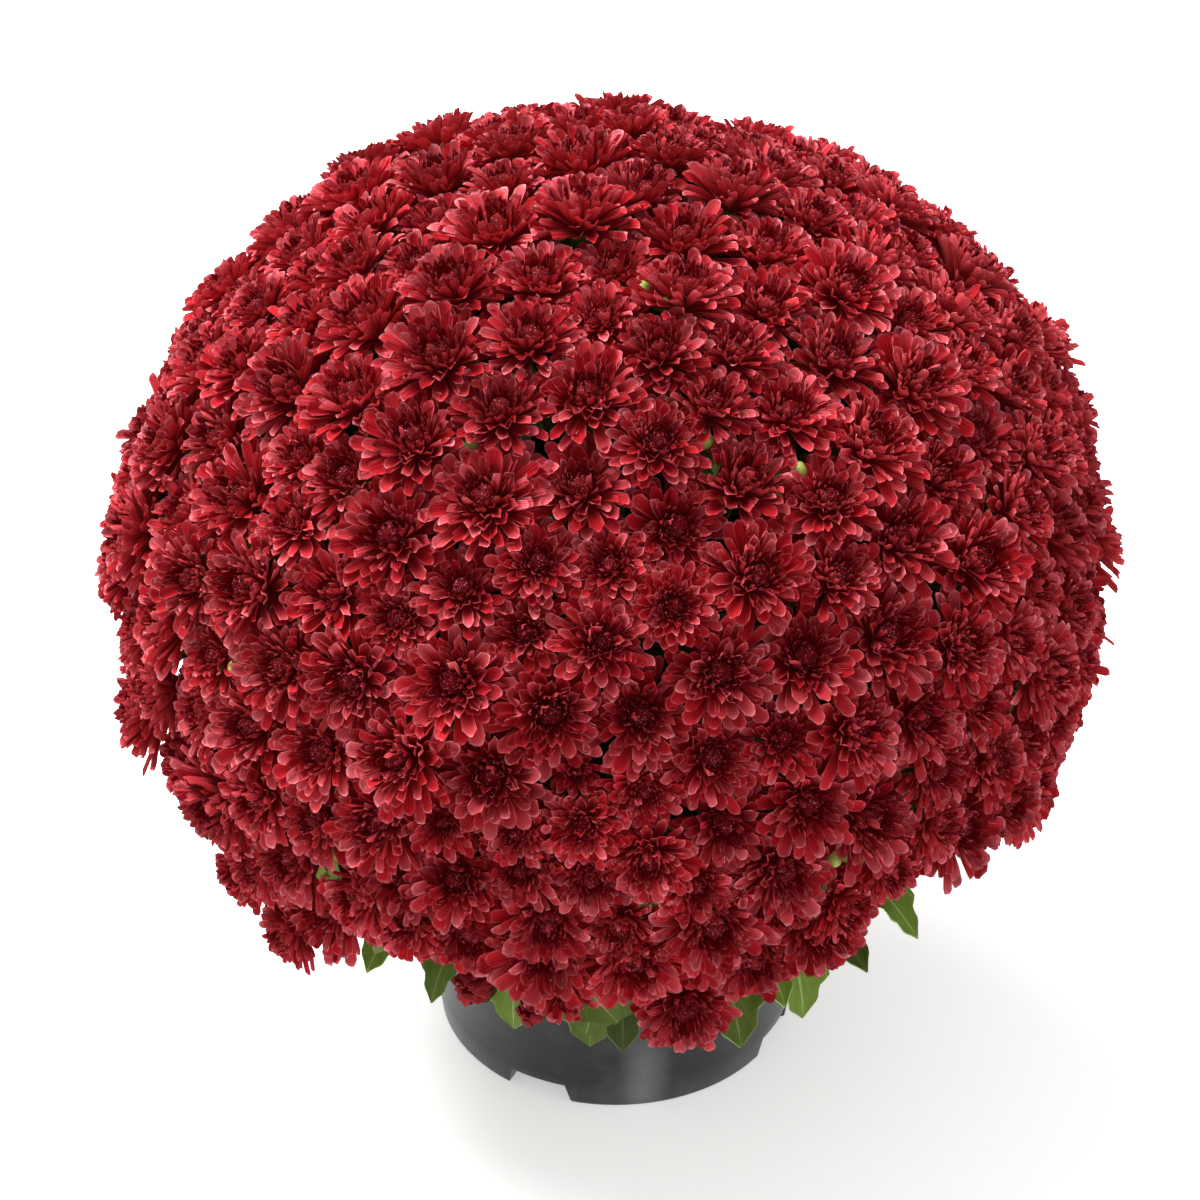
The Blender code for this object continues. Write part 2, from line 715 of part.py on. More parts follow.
def make_leafy_stem(number, blooms, sprays, material):
    """A stem from its hole in the soil, its branches to the sprays, and its lower leaves."""
    azimuth = stem_azimuths()[number]
    foot = STEM_CIRCLE * outward(azimuth)
    bottom = foot + (SOIL_TOP - HOLE_DEPTH + GAP) * UP
    top = (STEM_CIRCLE + STEM_LEAN) * outward(azimuth) + STEM_TOP * UP
    collar = foot + (SOIL_TOP + COLLAR_RISE) * UP
    name = f"leafy_stem_{number + 1}"
    stem = add_prism(name, bottom, collar, STEM_RADIUS, STEM_RADIUS, 6, material)
    low, high = (STEM_RADIUS * taper for taper in STEM_TAPER)
    parts = [add_prism("upper", collar - COLLAR_RISE / 2 * UP, top, low, high, 4, material)]

    def along_stem(height):
        share = (height - collar[2]) / (top[2] - collar[2])
        return collar + share * (top - collar)

    carried = []
    for members in sprays:
        own = min(members, key=lambda own: sector_turn(blooms[own].root)[0])
        if sector_turn(blooms[own].root)[1] == number:
            carried.append(blooms[own])
    carried.sort(key=lambda bloom: bloom.root[2])
    for step, bloom in enumerate(carried):
        start = along_stem(BRANCH_START + (STEM_TOP - BRANCH_START) * (step + 0.5) / len(carried))
        end = bloom.root - 2 * GAP * unit(bloom.centre - bloom.root)
        parts.append(add_prism("branch", start, end, BRANCH_RADIUS, BRANCH_TIP_RADIUS, 3, material))
    for degrees, droop, start_radius, length, level in lower_leaves():
        leaf_azimuth = math.radians(degrees)
        if leaf_sector(leaf_azimuth) == number:
            parts.append(add_leaf(
                along_stem(LEAF_HEIGHTS[level]), leaf_azimuth, math.radians(droop),
                start_radius, length, material))
    for bud_azimuth, distance, height, radius in BUDS:
        if leaf_sector(bud_azimuth) != number:
            continue
        axis = bud_axis(bud_azimuth)
        centre = distance * outward(bud_azimuth) + height * UP
        cup_top = centre + (BUD_RINGS[0][2] * radius - GAP) * axis
        cup_back = cup_top - CUP_DEPTH * axis
        knee_radius, knee_height = BUD_KNEE
        knee = knee_radius * outward(bud_azimuth) + knee_height * UP
        stalk = (
            (along_stem(knee_height), STALK_RADIUS),
            (knee, STALK_RADIUS),
            (cup_back - CUP_DEPTH * axis, STALK_RADIUS),
            (cup_back, CUP_RADII[0] * radius),
            (cup_top, CUP_RADII[1] * radius),
        )
        parts.append(add_tube("bud_stalk", stalk, BUD_SIDES, material))
    boolean(stem, parts, "UNION")


def make_bud(number, azimuth, distance, height, radius, material):
    """A half-open bud with a ring of petal tips round a sunken heart."""
    centre = distance * outward(azimuth) + height * UP
    axis = bud_axis(azimuth)
    across, along = frame_across(axis)
    vertices = []
    for shift, ring_radius, rise in BUD_RINGS:
        for k in range(BUD_SIDES):
            turn = 2 * math.pi * (k + shift) / BUD_SIDES
            flat = math.cos(turn) * across + math.sin(turn) * along
            vertices.append(centre + radius * (ring_radius * flat + rise * axis))
    vertices.append(centre + BUD_HEART_RISE * radius * axis)
    faces = [tuple(reversed(range(BUD_SIDES)))]
    for k in range(BUD_SIDES):
        after = (k + 1) % BUD_SIDES
        faces.append((k, after, BUD_SIDES + after, BUD_SIDES + k))
        faces.append((BUD_SIDES + k, BUD_SIDES + after, 2 * BUD_SIDES + k))
        faces.append((BUD_SIDES + after, 2 * BUD_SIDES + after, 2 * BUD_SIDES + k))
        faces.append((2 * BUD_SIDES + k, 2 * BUD_SIDES + after, 3 * BUD_SIDES))
    add_object(f"bud_{number + 1}", vertices, faces, material)


def main():
    clear_scene()
    black = make_material("black plastic", (0.035, 0.037, 0.038), 0.45)
    brown = make_material("potting soil", (0.045, 0.028, 0.018), 0.95)
    crimson = make_material("crimson petals", (0.33, 0.012, 0.028), 0.6)
    green = make_material("leaves and stems", (0.09, 0.19, 0.035), 0.6)
    dark_red = make_material("bud petals", (0.16, 0.008, 0.02), 0.6)
    make_pot(black)
    make_soil(brown)
    blooms, sprays = make_sprays(crimson)
    for number in range(STEM_COUNT):
        make_leafy_stem(number, blooms, sprays, green)
    for number, (azimuth, distance, height, radius) in enumerate(BUDS):
        make_bud(number, azimuth, distance, height, radius, dark_red)


main()
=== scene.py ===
"""A pot chrysanthemum, dressed: petals, leaves, stalks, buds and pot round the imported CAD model.

Everything is in metres with +Z up. An azimuth of 0 faces the camera, along -Y, and a positive
one turns towards +X. Laid out as an add-on: the sizes and colours a user would change are
properties, and each group of pieces has its own operator.
"""

import math

import bmesh
import bpy
import numpy as np
from bpy.props import FloatProperty, FloatVectorProperty, IntProperty, PointerProperty
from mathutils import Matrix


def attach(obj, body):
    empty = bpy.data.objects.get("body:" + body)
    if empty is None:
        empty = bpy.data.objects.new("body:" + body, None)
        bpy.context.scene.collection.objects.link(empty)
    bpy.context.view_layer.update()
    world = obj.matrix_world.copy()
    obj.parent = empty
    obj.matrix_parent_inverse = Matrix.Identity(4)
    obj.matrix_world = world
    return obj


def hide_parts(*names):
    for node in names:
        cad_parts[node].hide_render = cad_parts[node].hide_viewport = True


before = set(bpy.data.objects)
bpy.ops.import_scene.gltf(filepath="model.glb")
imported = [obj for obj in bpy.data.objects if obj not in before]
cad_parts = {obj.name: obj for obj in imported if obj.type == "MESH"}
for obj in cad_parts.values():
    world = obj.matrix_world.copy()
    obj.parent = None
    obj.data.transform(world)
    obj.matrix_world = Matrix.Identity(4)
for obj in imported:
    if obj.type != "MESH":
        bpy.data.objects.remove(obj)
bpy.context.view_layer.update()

bl_info = {
    "name": "Pot chrysanthemum",
    "version": (1, 0, 0),
    "blender": (4, 5, 0),
    "location": "View3D > Sidebar > Chrysanthemum",
    "description": "Dresses a CAD model of a pot chrysanthemum with petals, leaves, buds and a pot",
    "category": "Add Mesh",
}

# The ball of blooms, laid out exactly as the CAD model lays it out
BALL_CENTRE = np.array([-0.003, 0.0, 0.268])
BALL_SEMI_AXES = np.array([0.226, 0.226, 0.197])
SKIRT_HEIGHT = 0.152
SKIRT_AZIMUTHS = (-75, -60, -46, -36, -25, 0, 18, 28, 39, 55, 64, 74, 88)
SKIRT_HEIGHTS = (
    0.152, 0.150, 0.155, 0.190, 0.205, 0.205, 0.190, 0.200, 0.230, 0.228, 0.205, 0.176, 0.152)
BLOOM_SEED = 7
BLOOM_COUNT = 376
BLOOM_PITCH = 0.0384
BLOOM_SIZE_RANGE = (0.80, 1.20)
BLOOM_LEVEL_RANGE = (-0.006, 0.004)
BLOOM_TILT = 0.12
BLOOM_LOOKS_UP = 0.26
LOW_BLOOM_LOOKS_UP = 0.60
START_JITTER = 0.03
RELAX_STEPS = 160
RELAX_RATE = 0.22
SPRAY_COUNT = 48
SPRAY_STEPS = 30
BLOOM_SPREAD = 0.60
BACK_RISE = -0.72
# The blooms over the pot's front that the photo shows one by one: azimuth in degrees, height,
# size, and how far each stands out from the ball
PINNED_BLOOMS = (
    (-55, 0.171, 0.85, 0.008),
    (-46, 0.154, 0.80, 0.019),
    (-34, 0.253, 0.85, 0),
    (-30, 0.214, 1.00, 0),
    (-18, 0.274, 0.70, 0),
    (-17, 0.243, 0.95, 0),
    (-10, 0.273, 0.65, 0),
    (-7, 0.224, 1.00, 0),
    (-7, 0.162, 0.70, 0),
    (-3, 0.280, 0.80, 0),
    (1, 0.221, 0.80, 0),
    (4, 0.262, 0.90, 0),
    (9, 0.245, 0.80, 0),
    (10, 0.147, 1.05, 0.012),
    (18, 0.183, 1.05, 0),
    (19, 0.245, 1.00, 0),
    (28, 0.209, 0.85, 0),
    (33, 0.226, 0.75, 0),
    (39, 0.242, 0.85, 0),
)

# The heart of a double bloom, and where its broad petals start, as shares of its radius
HEART_SHARE = 0.33
BROAD_SHARE = 0.66
# The button of florets in the heart, and its top's height over the bloom's centre, likewise
BUTTON_SHAPE = np.array([0.25, 0.25, 0.20])
BUTTON_TOP = 0.19

# Young blooms in the gaps between the others
GAP_PROBES = 3000
YOUNG_DEPTH = 0.955
YOUNG_OVERLAP = 0.013
YOUNG_RADII = (0.011, 0.017)
YOUNG_DROP = 0.012
YOUNG_ROOT = 0.62
# How many fewer petals a young bloom has, and how much closer they stand
YOUNG_FEWER = 0.5
YOUNG_CLOSER = 0.25

# Small green buds: azimuth in degrees and height of the places they stand near; the photo shows
# all but the last four, which are behind
GREEN_BUDS = (
    (-85, 0.343), (-80, 0.354), (-46, 0.288), (-45, 0.189), (-33, 0.374), (-24, 0.434), (-21, 0.424),
    (-4, 0.454), (-1, 0.137), (12, 0.424), (27, 0.246), (34, 0.401), (64, 0.334), (140, 0.380),
    (165, 0.220), (200, 0.300), (250, 0.410))
GREEN_BUD_SEARCH = 0.022
GREEN_BUD_RISE = 1.035
GREEN_BUD_RADIUS = 0.0044
# The two small leaves beside each green bud: their length, the turn between them, the slope of
# their lean up it, and how they arch
BUD_LEAF_LENGTHS = (0.016, 0.024)
BUD_LEAF_TURN = 2.4
BUD_LEAF_LEAN = math.tan(0.45)
BUD_LEAF_FALL = (0.0, 0.6)
BUD_LEAF_WIDTH = 0.62
BUD_LEAF_WAVE = 0.08
# The green cups under the blooms and under the half-open buds, as shares of their radius
CALYX_SHAPE = np.array([0.32, 0.32, 0.42])
BUD_CUP_SHAPE = np.array([0.92, 0.92, 0.58])
# The tone numbers of a copy that has no draw of its own
PLAIN_TONE = (0, 0.5, 0.5)

# The leafy stems and buds, where the CAD model has them
STEM_COUNT = 6
STEM_CIRCLE = 0.034
STEM_LEAN = 0.045
STEM_RADIUS = 0.0036
STEM_TAPER = 0.60
STEM_BOTTOM = 0.0923
STEM_KNEE = 0.03
STEM_TOP = 0.310
COLLAR_HEIGHT = 0.126
BRANCH_START = 0.153
# Where a branch forks into its blooms' stalks, as a share of its length
FORK_SHARE = 0.62
BRANCH_RADIUS = 0.0015
BRANCH_TIP_RADIUS = 0.0007
BRANCH_ARCH = 0.003
# The stalks of the single blooms, and how far each runs straight down from its bloom
BLOOM_STALK_RADII = (0.0012, 0.00091)
STALK_STRAIGHT = 0.45
# How far a stalk runs into its cup, as a share of its bloom's radius
STALK_REACH = 0.1
SECTOR_SHIFT = math.radians(8)
# A lower leaf's slope at its foot and how much more it falls along it, as shares of its droop
LEAF_FALL = (0.35, 0.90)
LEAF_HEIGHTS = (0.1440, 0.1452, 0.1464, 0.1476)
# The lower leaves the photo shows: azimuth and droop in degrees, start from the axis, length,
# and which of the heights each starts at
FRONT_LEAVES = (
    (-44, 44, 0.122, 0.052, 1),
    (-36, 14, 0.112, 0.045, 3),
    (-32, 52, 0.122, 0.050, 0),
    (-20, 80, 0.112, 0.062, 1),
    (-5, 80, 0.112, 0.064, 0),
    (1, 60, 0.112, 0.064, 2),
    (20, 52, 0.116, 0.064, 0),
    (28, 40, 0.112, 0.058, 2),
    (34, 72, 0.122, 0.060, 1),
    (42, 30, 0.112, 0.062, 3),
    (56, 42, 0.125, 0.052, 0),
)
# The other lower leaves, evenly spaced round the back
BACK_LEAF_AZIMUTHS = np.linspace(76, 296, 12)
BACK_LEAF_DROOP = 52
BACK_LEAF_START = 0.112
BACK_LEAF_LENGTH = 0.047
BACK_LEAF_SWING = 0.10
STALK_RADIUS = 0.0012
STALK_TAPER = 0.8
STALK_ARCH = 0.002
BUDS = (
    (math.radians(-24.5), 0.158, 0.125, 0.0110),
    (math.radians(-14.6), 0.155, 0.115, 0.0080),
    (math.radians(3.8), 0.150, 0.125, 0.0085),
    (math.radians(13.4), 0.147, 0.145, 0.0075),
)
BUD_KNEE = (0.112, 0.1495)
BUD_LOOKS_UP = 0.45
BUD_PETALS = 68
# How far each bud's petals wrap over it, in radians
BUD_WRAPS = (2.5, 2.4, 1.9, 1.7)
BUD_FOOT_ANGLE = math.radians(30)
BUD_WRAP_SWING = 0.45
BUD_PACKING = 0.6
BUD_PETAL_WIDTH = 0.38
BUD_TILT_SWING = 0.06
BUD_ROLL_SWING = 0.10
BUD_SWAY_SWING = 0.04
BUD_STALK_STRAIGHT = 0.8

# The pot and its mix
POT_BASE_RADIUS = 0.089
POT_RIM_RADIUS = 0.103
POT_HEIGHT = 0.140
POT_WALL = 0.0022
POT_FLOOR = 0.003
LIP_HEIGHT = 0.007
LIP_OVERHANG = 0.003
NOTCH_COUNT = 4
NOTCH_AZIMUTH = math.radians(-25.5)
NOTCH_WIDTHS = (0.040, 0.029)
NOTCH_DEPTH = 0.027
NOTCH_HEIGHT = 0.012
DRAIN_RADIUS = 0.0045
# The pot's rounded foot, as distances inside its base radius and heights
FOOT_PROFILE = ((0.004, 0.0), (0.0012, 0.0004), (0.0, 0.0022))
# How far a cutter goes past the wall that it cuts
CUT_MARGIN = 0.01
SOIL_TOP = 0.122
MIX_GAP = 0.0003
MIX_EDGE = 0.002
MIX_RINGS = (0.985, 0.93, 0.86, 0.78, 0.70, 0.62, 0.54, 0.46, 0.38, 0.30, 0.22, 0.14, 0.06)
CRUMB_DEPTH = 0.0035
# A painted highlight down the pot's front, a long pale streak mixed into the plastic's colour
HIGHLIGHT_AZIMUTH = math.radians(9)
HIGHLIGHT_WIDTH = math.radians(10)
HIGHLIGHT_HEIGHT = 0.085

FLOOR_GLOW = 0.42
# A painted glow of the petals' own crimson, standing in for the light that passes through them
PETAL_GLOW = 0.045
GOLDEN_ANGLE = math.pi * (3 - math.sqrt(5))
UP = np.array([0.0, 0.0, 1.0])


# Settings

def measure(label, description, default, low=0.0, high=1000.0, **more):
    return FloatProperty(
        name=label, description=description, default=default, min=low, max=high, **more)


def whole(label, description, default, low, high):
    return IntProperty(name=label, description=description, default=default, min=low, max=high)


def paint(label, coloured, default):
    return FloatVectorProperty(
        name=label, description=f"Colour of {coloured}", subtype="COLOR", size=3, min=0, max=1,
        default=default)


class BloomSettings(bpy.types.PropertyGroup):
    """Sizes and colours of the double blooms."""

    spread: measure(
        "Spread", "A middling bloom's radius, as a share of the blooms' spacing", 0.70, 0.4, 0.8)
    petals: whole("Petals", "Petals round a middling bloom's heart", 82, 20, 110)
    heart_petals: whole("Heart petals", "Small petals in a middling bloom's heart", 40, 5, 60)
    young_blooms: whole("Young blooms", "Small young blooms sunk in the widest gaps", 64, 0, 120)
    petal_width: measure(
        "Petal width", "An outer petal's width, as a share of the bloom's radius", 0.225, 0.1, 0.5)
    body_colour: paint("Petal", "a petal's blade", (0.335, 0.0008, 0.006))
    # The paler rim and tip are partly the petal's own paler edge, partly painted highlight
    rim_colour: paint("Rim", "a petal's rim and tip", (0.61, 0.185, 0.215))
    # At each petal's foot it is partly the foot's own deeper crimson, partly painted shade
    heart_colour: paint("Heart", "the bloom's heart and each petal's foot", (0.085, 0.0003, 0.002))
    back_colour: paint("Back", "a petal's back", (0.44, 0.040, 0.050))


class LeafSettings(bpy.types.PropertyGroup):
    """Sizes and colours of the leaves, stalks and green buds."""

    inner_leaves: whole("Inner leaves", "Leaves on the stalk of each bloom", 3, 1, 3)
    inner_length: measure(
        "Inner leaf length", "Length of a leaf under the blooms", 0.035, 0.01, 0.08, unit="LENGTH")
    top_colour: paint("Leaf", "a leaf's upper face", (0.068, 0.105, 0.009))
    under_colour: paint("Underside", "a leaf's underside", (0.19, 0.27, 0.085))
    stalk_colour: paint("Stalk", "the stalks and calyxes", (0.12, 0.20, 0.035))
    bud_colour: paint("Green bud", "the small closed buds", (0.30, 0.36, 0.06))


class PotSettings(bpy.types.PropertyGroup):
    """Sizes and colours of the pot and its mix."""

    sides: whole("Sides", "Sides round the pot", 96, 24, 256)
    plastic_colour: paint("Plastic", "the pot's plastic", (0.0065, 0.0068, 0.0072))
    # The same colour also paints the pale highlight down the pot's front
    dust_and_highlight_colour: paint("Dust", "the dust and scuffs on the pot", (0.215, 0.215, 0.22))
    mix_colour: paint("Potting mix", "the potting mix", (0.050, 0.031, 0.020))


class StageSettings(bpy.types.PropertyGroup):
    """The camera's place and the studio's light."""

    camera_height: measure("Camera height", "Height over the floor", 1.129, unit="LENGTH")
    camera_distance: measure(
        "Camera distance", "Distance in front of the pot's middle", 1.331, unit="LENGTH")
    camera_tilt: measure(
        "Camera tilt", "How far the camera looks down", math.radians(33.7), subtype="ANGLE")
    lens: measure("Lens", "Focal length in millimetres", 101.0, 20, 300)
    key_power: measure(
        "Key light", "Power of the soft light from the upper left", 166.0, unit="POWER")
    fill_power: measure("Fill light", "Power of the soft light from the right", 5.0, unit="POWER")
    back_power: measure(
        "Back light", "Power of the soft light from above and behind", 75.0, unit="POWER")
    world_strength: measure("Surround", "Brightness of the white surround", 0.80)


# Selecting and shaping by hand

def deselect_everything():
    if bpy.context.object and bpy.context.object.mode != "OBJECT":
        bpy.ops.object.mode_set(mode="OBJECT")
    bpy.ops.object.select_all(action="DESELECT")


def select_points(obj, chosen):
    """In edit mode, selects the mesh points whose place passes a test."""
    shape = bmesh.from_edit_mesh(obj.data)
    for point in shape.verts:
        point.select = bool(chosen(point.co))
    shape.select_flush_mode()
    bmesh.update_edit_mesh(obj.data)


def select_only(obj):
    deselect_everything()
    obj.select_set(True)
    bpy.context.view_layer.objects.active = obj


def place_in_mesh(obj):
    """Moves an object's place, turn and scale into its mesh."""
    select_only(obj)
    bpy.ops.object.transform_apply(location=True, rotation=True, scale=True)


def begin_edit(name, mode="VERT"):
    """Names the piece just added, moves its place into its mesh and opens it in edit mode."""
    piece = bpy.context.object
    piece.name = name
    place_in_mesh(piece)
    bpy.ops.object.mode_set(mode="EDIT")
    bpy.ops.mesh.select_mode(type=mode)
    return piece


def end_edit():
    """Turns all faces outward and leaves edit mode."""
    bpy.ops.mesh.select_all(action="SELECT")
    bpy.ops.mesh.normals_make_consistent(inside=False)
    bpy.ops.object.mode_set(mode="OBJECT")


def draw_up(rise, growth, top):
    """Draws the selected ring up from a height, and widens it."""
    bpy.ops.mesh.extrude_edges_move(TRANSFORM_OT_translate={"value": (0, 0, rise)})
    bpy.ops.transform.resize(value=(growth, growth, 1), center_override=(0, 0, top + rise))


def apply_modifier(obj, kind, **values):
    bpy.context.view_layer.objects.active = obj
    modifier = obj.modifiers.new(kind.title(), kind)
    for name, value in values.items():
        setattr(modifier, name, value)
    bpy.ops.object.modifier_apply(modifier=modifier.name)


def outward(azimuth):
    return np.array([math.sin(azimuth), -math.cos(azimuth), 0.0])


def unit(vectors):
    return vectors / np.linalg.norm(vectors, axis=-1, keepdims=True)


def frame_across(axis):
    """Two unit vectors across an axis."""
    side = unit(np.cross(axis, UP if abs(axis[2]) < 0.9 else np.array([1.0, 0.0, 0.0])))
    return side, np.cross(axis, side)


def quadratic(share, first, middle, last):
    """The point at a share of the way along a quadratic path."""
    return (1 - share) ** 2 * first + 2 * share * (1 - share) * middle + share ** 2 * last


def read_all(items, name, kind, width=1):
    """One property of every item of a mesh, as an array."""
    values = np.empty((len(items), width), kind)
    items.foreach_get(name, values.ravel())
    return values if width > 1 else values[:, 0]


def column(values, count):
    """One value for each of a count of copies, as a column."""
    return np.broadcast_to(np.asarray(values, float), count)[:, None]


class Template:
    """A piece modelled once, kept as arrays to be copied; its object is removed."""

    def __init__(self, obj):
        mesh = obj.data
        self.points = read_all(mesh.vertices, "co", float, 3)
        self.corners = read_all(mesh.loops, "vertex_index", int)
        self.sizes = read_all(mesh.polygons, "loop_total", int)
        self.slots = read_all(mesh.polygons, "material_index", int)
        self.uv = read_all(mesh.uv_layers.active.data, "uv", float, 2)
        bpy.data.objects.remove(obj, do_unlink=True)


class Batch:
    """Copies of templates gathered into one mesh, each copy with points of its own."""

    def __init__(self):
        self.parts = []
        self.count = 0

    def add(self, template, places, tone, slot=0):
        """Adds copies: their points as (copy, point, 3) and three tone numbers for each copy."""
        copies, points = places.shape[:2]
        shift = self.count + points * np.arange(copies)
        self.parts.append((
            places.reshape(-1, 3), (template.corners[None] + shift[:, None]).ravel(),
            np.tile(template.sizes, copies), np.tile(template.slots + slot, copies),
            np.tile(template.uv, (copies, 1)),
            np.repeat(np.asarray(tone, float).reshape(copies, 3), points, axis=0)))
        self.count += copies * points

    def add_stalks(self, stalk, paths, start_radius, end_radius):
        """Adds stalks along quadratic paths."""
        tone = np.full((len(paths), 3), 0.5)
        self.add(stalk, bend_stalks(stalk, paths, start_radius, end_radius), tone)

    def make(self, name, materials):
        """The finished piece, in the scene, with its UV map and its tone attribute."""
        points, corners, sizes, slots, uv, tone = map(np.concatenate, zip(*self.parts))
        mesh = bpy.data.meshes.new(name)
        mesh.vertices.add(len(points))
        mesh.vertices.foreach_set("co", points.ravel())
        mesh.loops.add(len(corners))
        mesh.loops.foreach_set("vertex_index", corners)
        mesh.polygons.add(len(sizes))
        mesh.polygons.foreach_set("loop_start", np.cumsum(sizes) - sizes)
        mesh.polygons.foreach_set("material_index", slots)
        mesh.polygons.foreach_set("use_smooth", np.ones(len(sizes), bool))
        mesh.uv_layers.new(name="blade").data.foreach_set("uv", uv.ravel())
        tones = mesh.attributes.new("tone", "FLOAT_VECTOR", "POINT")
        tones.data.foreach_set("vector", tone.ravel())
        mesh.update(calc_edges=True)
        mesh.validate()
        for material in materials:
            mesh.materials.append(material)
        obj = bpy.data.objects.new(name, mesh)
        bpy.context.scene.collection.objects.link(obj)
        return obj


# The blooms' places

def skirt_limit(azimuth):
    """The lowest height of a bloom's centre; the skirt is lifted over the pot's front."""
    return np.interp(np.degrees(azimuth), SKIRT_AZIMUTHS, SKIRT_HEIGHTS)


def onto_ball(points):
    """Points moved onto the ball, no lower than its skirt."""
    rays = unit((points - BALL_CENTRE) / BALL_SEMI_AXES)
    azimuth = np.arctan2(rays[:, 0], -rays[:, 1])
    lowest = (skirt_limit(azimuth) - BALL_CENTRE[2]) / BALL_SEMI_AXES[2]
    rise = np.maximum(rays[:, 2], lowest)
    flat = np.sqrt(1 - rise ** 2) / np.linalg.norm(rays[:, :2], axis=1)
    rays = np.column_stack([rays[:, 0] * flat, rays[:, 1] * flat, rise])
    return BALL_CENTRE + rays * BALL_SEMI_AXES


def spiral(count):
    """Evenly spread rays from the ball's crown down to its skirt, a golden angle apart."""
    order = np.arange(count) + 0.5
    lowest = (SKIRT_HEIGHT - BALL_CENTRE[2]) / BALL_SEMI_AXES[2]
    rise = 1 - (1 - lowest) * order / count
    flat = np.sqrt(1 - rise ** 2)
    turn = order * GOLDEN_ANGLE
    return np.column_stack([flat * np.sin(turn), -flat * np.cos(turn), rise])


def place_on_ball(degrees, height, stands_out=0.0):
    """The point of the ball at an azimuth and a height, moved out from the ball's axis."""
    rise = (height - BALL_CENTRE[2]) / BALL_SEMI_AXES[2]
    distance = BALL_SEMI_AXES[0] * math.sqrt(1 - rise ** 2) + stands_out
    return np.array([BALL_CENTRE[0], 0, height]) + distance * outward(math.radians(degrees))


def pin_blooms(centres, size):
    """The blooms nearest to the pinned places, which take their sizes, and those places."""
    pinned = []
    places = []
    for azimuth, height, pinned_size, stands_out in PINNED_BLOOMS:
        place = place_on_ball(azimuth, height, stands_out)
        gaps = np.linalg.norm(centres - place, axis=1)
        gaps[pinned] = np.inf
        pinned.append(int(gaps.argmin()))
        places.append(place)
        size[pinned[-1]] = pinned_size
    return pinned, np.array(places)


def lay_out_blooms():
    """Centres, axes, sizes and turns of the blooms, by a spiral that is then relaxed."""
    draw = np.random.default_rng(BLOOM_SEED)
    size = draw.uniform(*BLOOM_SIZE_RANGE, BLOOM_COUNT)
    rays = spiral(BLOOM_COUNT)
    centres = BALL_CENTRE + (rays + draw.normal(0, START_JITTER, rays.shape)) * BALL_SEMI_AXES
    pinned, places = pin_blooms(centres, size)
    wanted = BLOOM_PITCH * (size[:, None] + size[None]) / 2
    for _ in range(RELAX_STEPS):
        centres = onto_ball(centres)
        centres[pinned] = places
        apart = centres[:, None] - centres[None]
        distance = np.linalg.norm(apart, axis=2) + np.eye(BLOOM_COUNT)
        push = np.clip(wanted - distance, 0, None) * (1 - np.eye(BLOOM_COUNT))
        centres = centres + RELAX_RATE * (apart / distance[..., None] * push[..., None]).sum(axis=1)
    centres = onto_ball(centres)
    axes = unit((centres - BALL_CENTRE) / BALL_SEMI_AXES ** 2)
    centres = centres + axes * draw.uniform(*BLOOM_LEVEL_RANGE, BLOOM_COUNT)[:, None]
    centres[pinned] = places
    lift = BLOOM_LOOKS_UP + LOW_BLOOM_LOOKS_UP * np.clip(-axes[:, 2:], 0, None)
    axes = unit(axes + lift * UP + draw.normal(0, BLOOM_TILT, axes.shape))
    turns = draw.uniform(0, 2 * math.pi, BLOOM_COUNT)
    return centres, axes, size, turns


def group_sprays(centres):
    """The spray of each bloom: nearest of evenly spread seeds, moved to their blooms' middle."""
    seeds = onto_ball(BALL_CENTRE + spiral(SPRAY_COUNT) * BALL_SEMI_AXES)
    for _ in range(SPRAY_STEPS):
        spray = np.linalg.norm(centres[:, None] - seeds[None], axis=2).argmin(axis=1)
        seeds = np.array([centres[spray == k].mean(axis=0) for k in range(SPRAY_COUNT)])
    return spray


def stem_azimuths():
    return [2 * math.pi * (k + 0.5) / STEM_COUNT for k in range(STEM_COUNT)]


def sector_turn(place):
    """How far a place turns from the middle of its nearest stem's sector, and that stem."""
    azimuth = math.atan2(place[0], -place[1])
    turns = [(azimuth - middle + math.pi) % (2 * math.pi) - math.pi for middle in stem_azimuths()]
    best = min(range(STEM_COUNT), key=lambda k: abs(turns[k]))
    return abs(turns[best]), best


def leaf_sector(azimuth):
    """The stem that carries a lower leaf or bud."""
    return sector_turn(outward(azimuth - SECTOR_SHIFT))[1]


def all_lower_leaves():
    """Azimuth, droop, start radius, length and height of every lower leaf."""
    leaves = list(FRONT_LEAVES)
    for k, azimuth in enumerate(BACK_LEAF_AZIMUTHS):
        length = BACK_LEAF_LENGTH * (1 + BACK_LEAF_SWING * math.sin(5 * math.radians(azimuth)))
        leaves.append((azimuth, BACK_LEAF_DROOP, BACK_LEAF_START, length, k % 2))
    return leaves


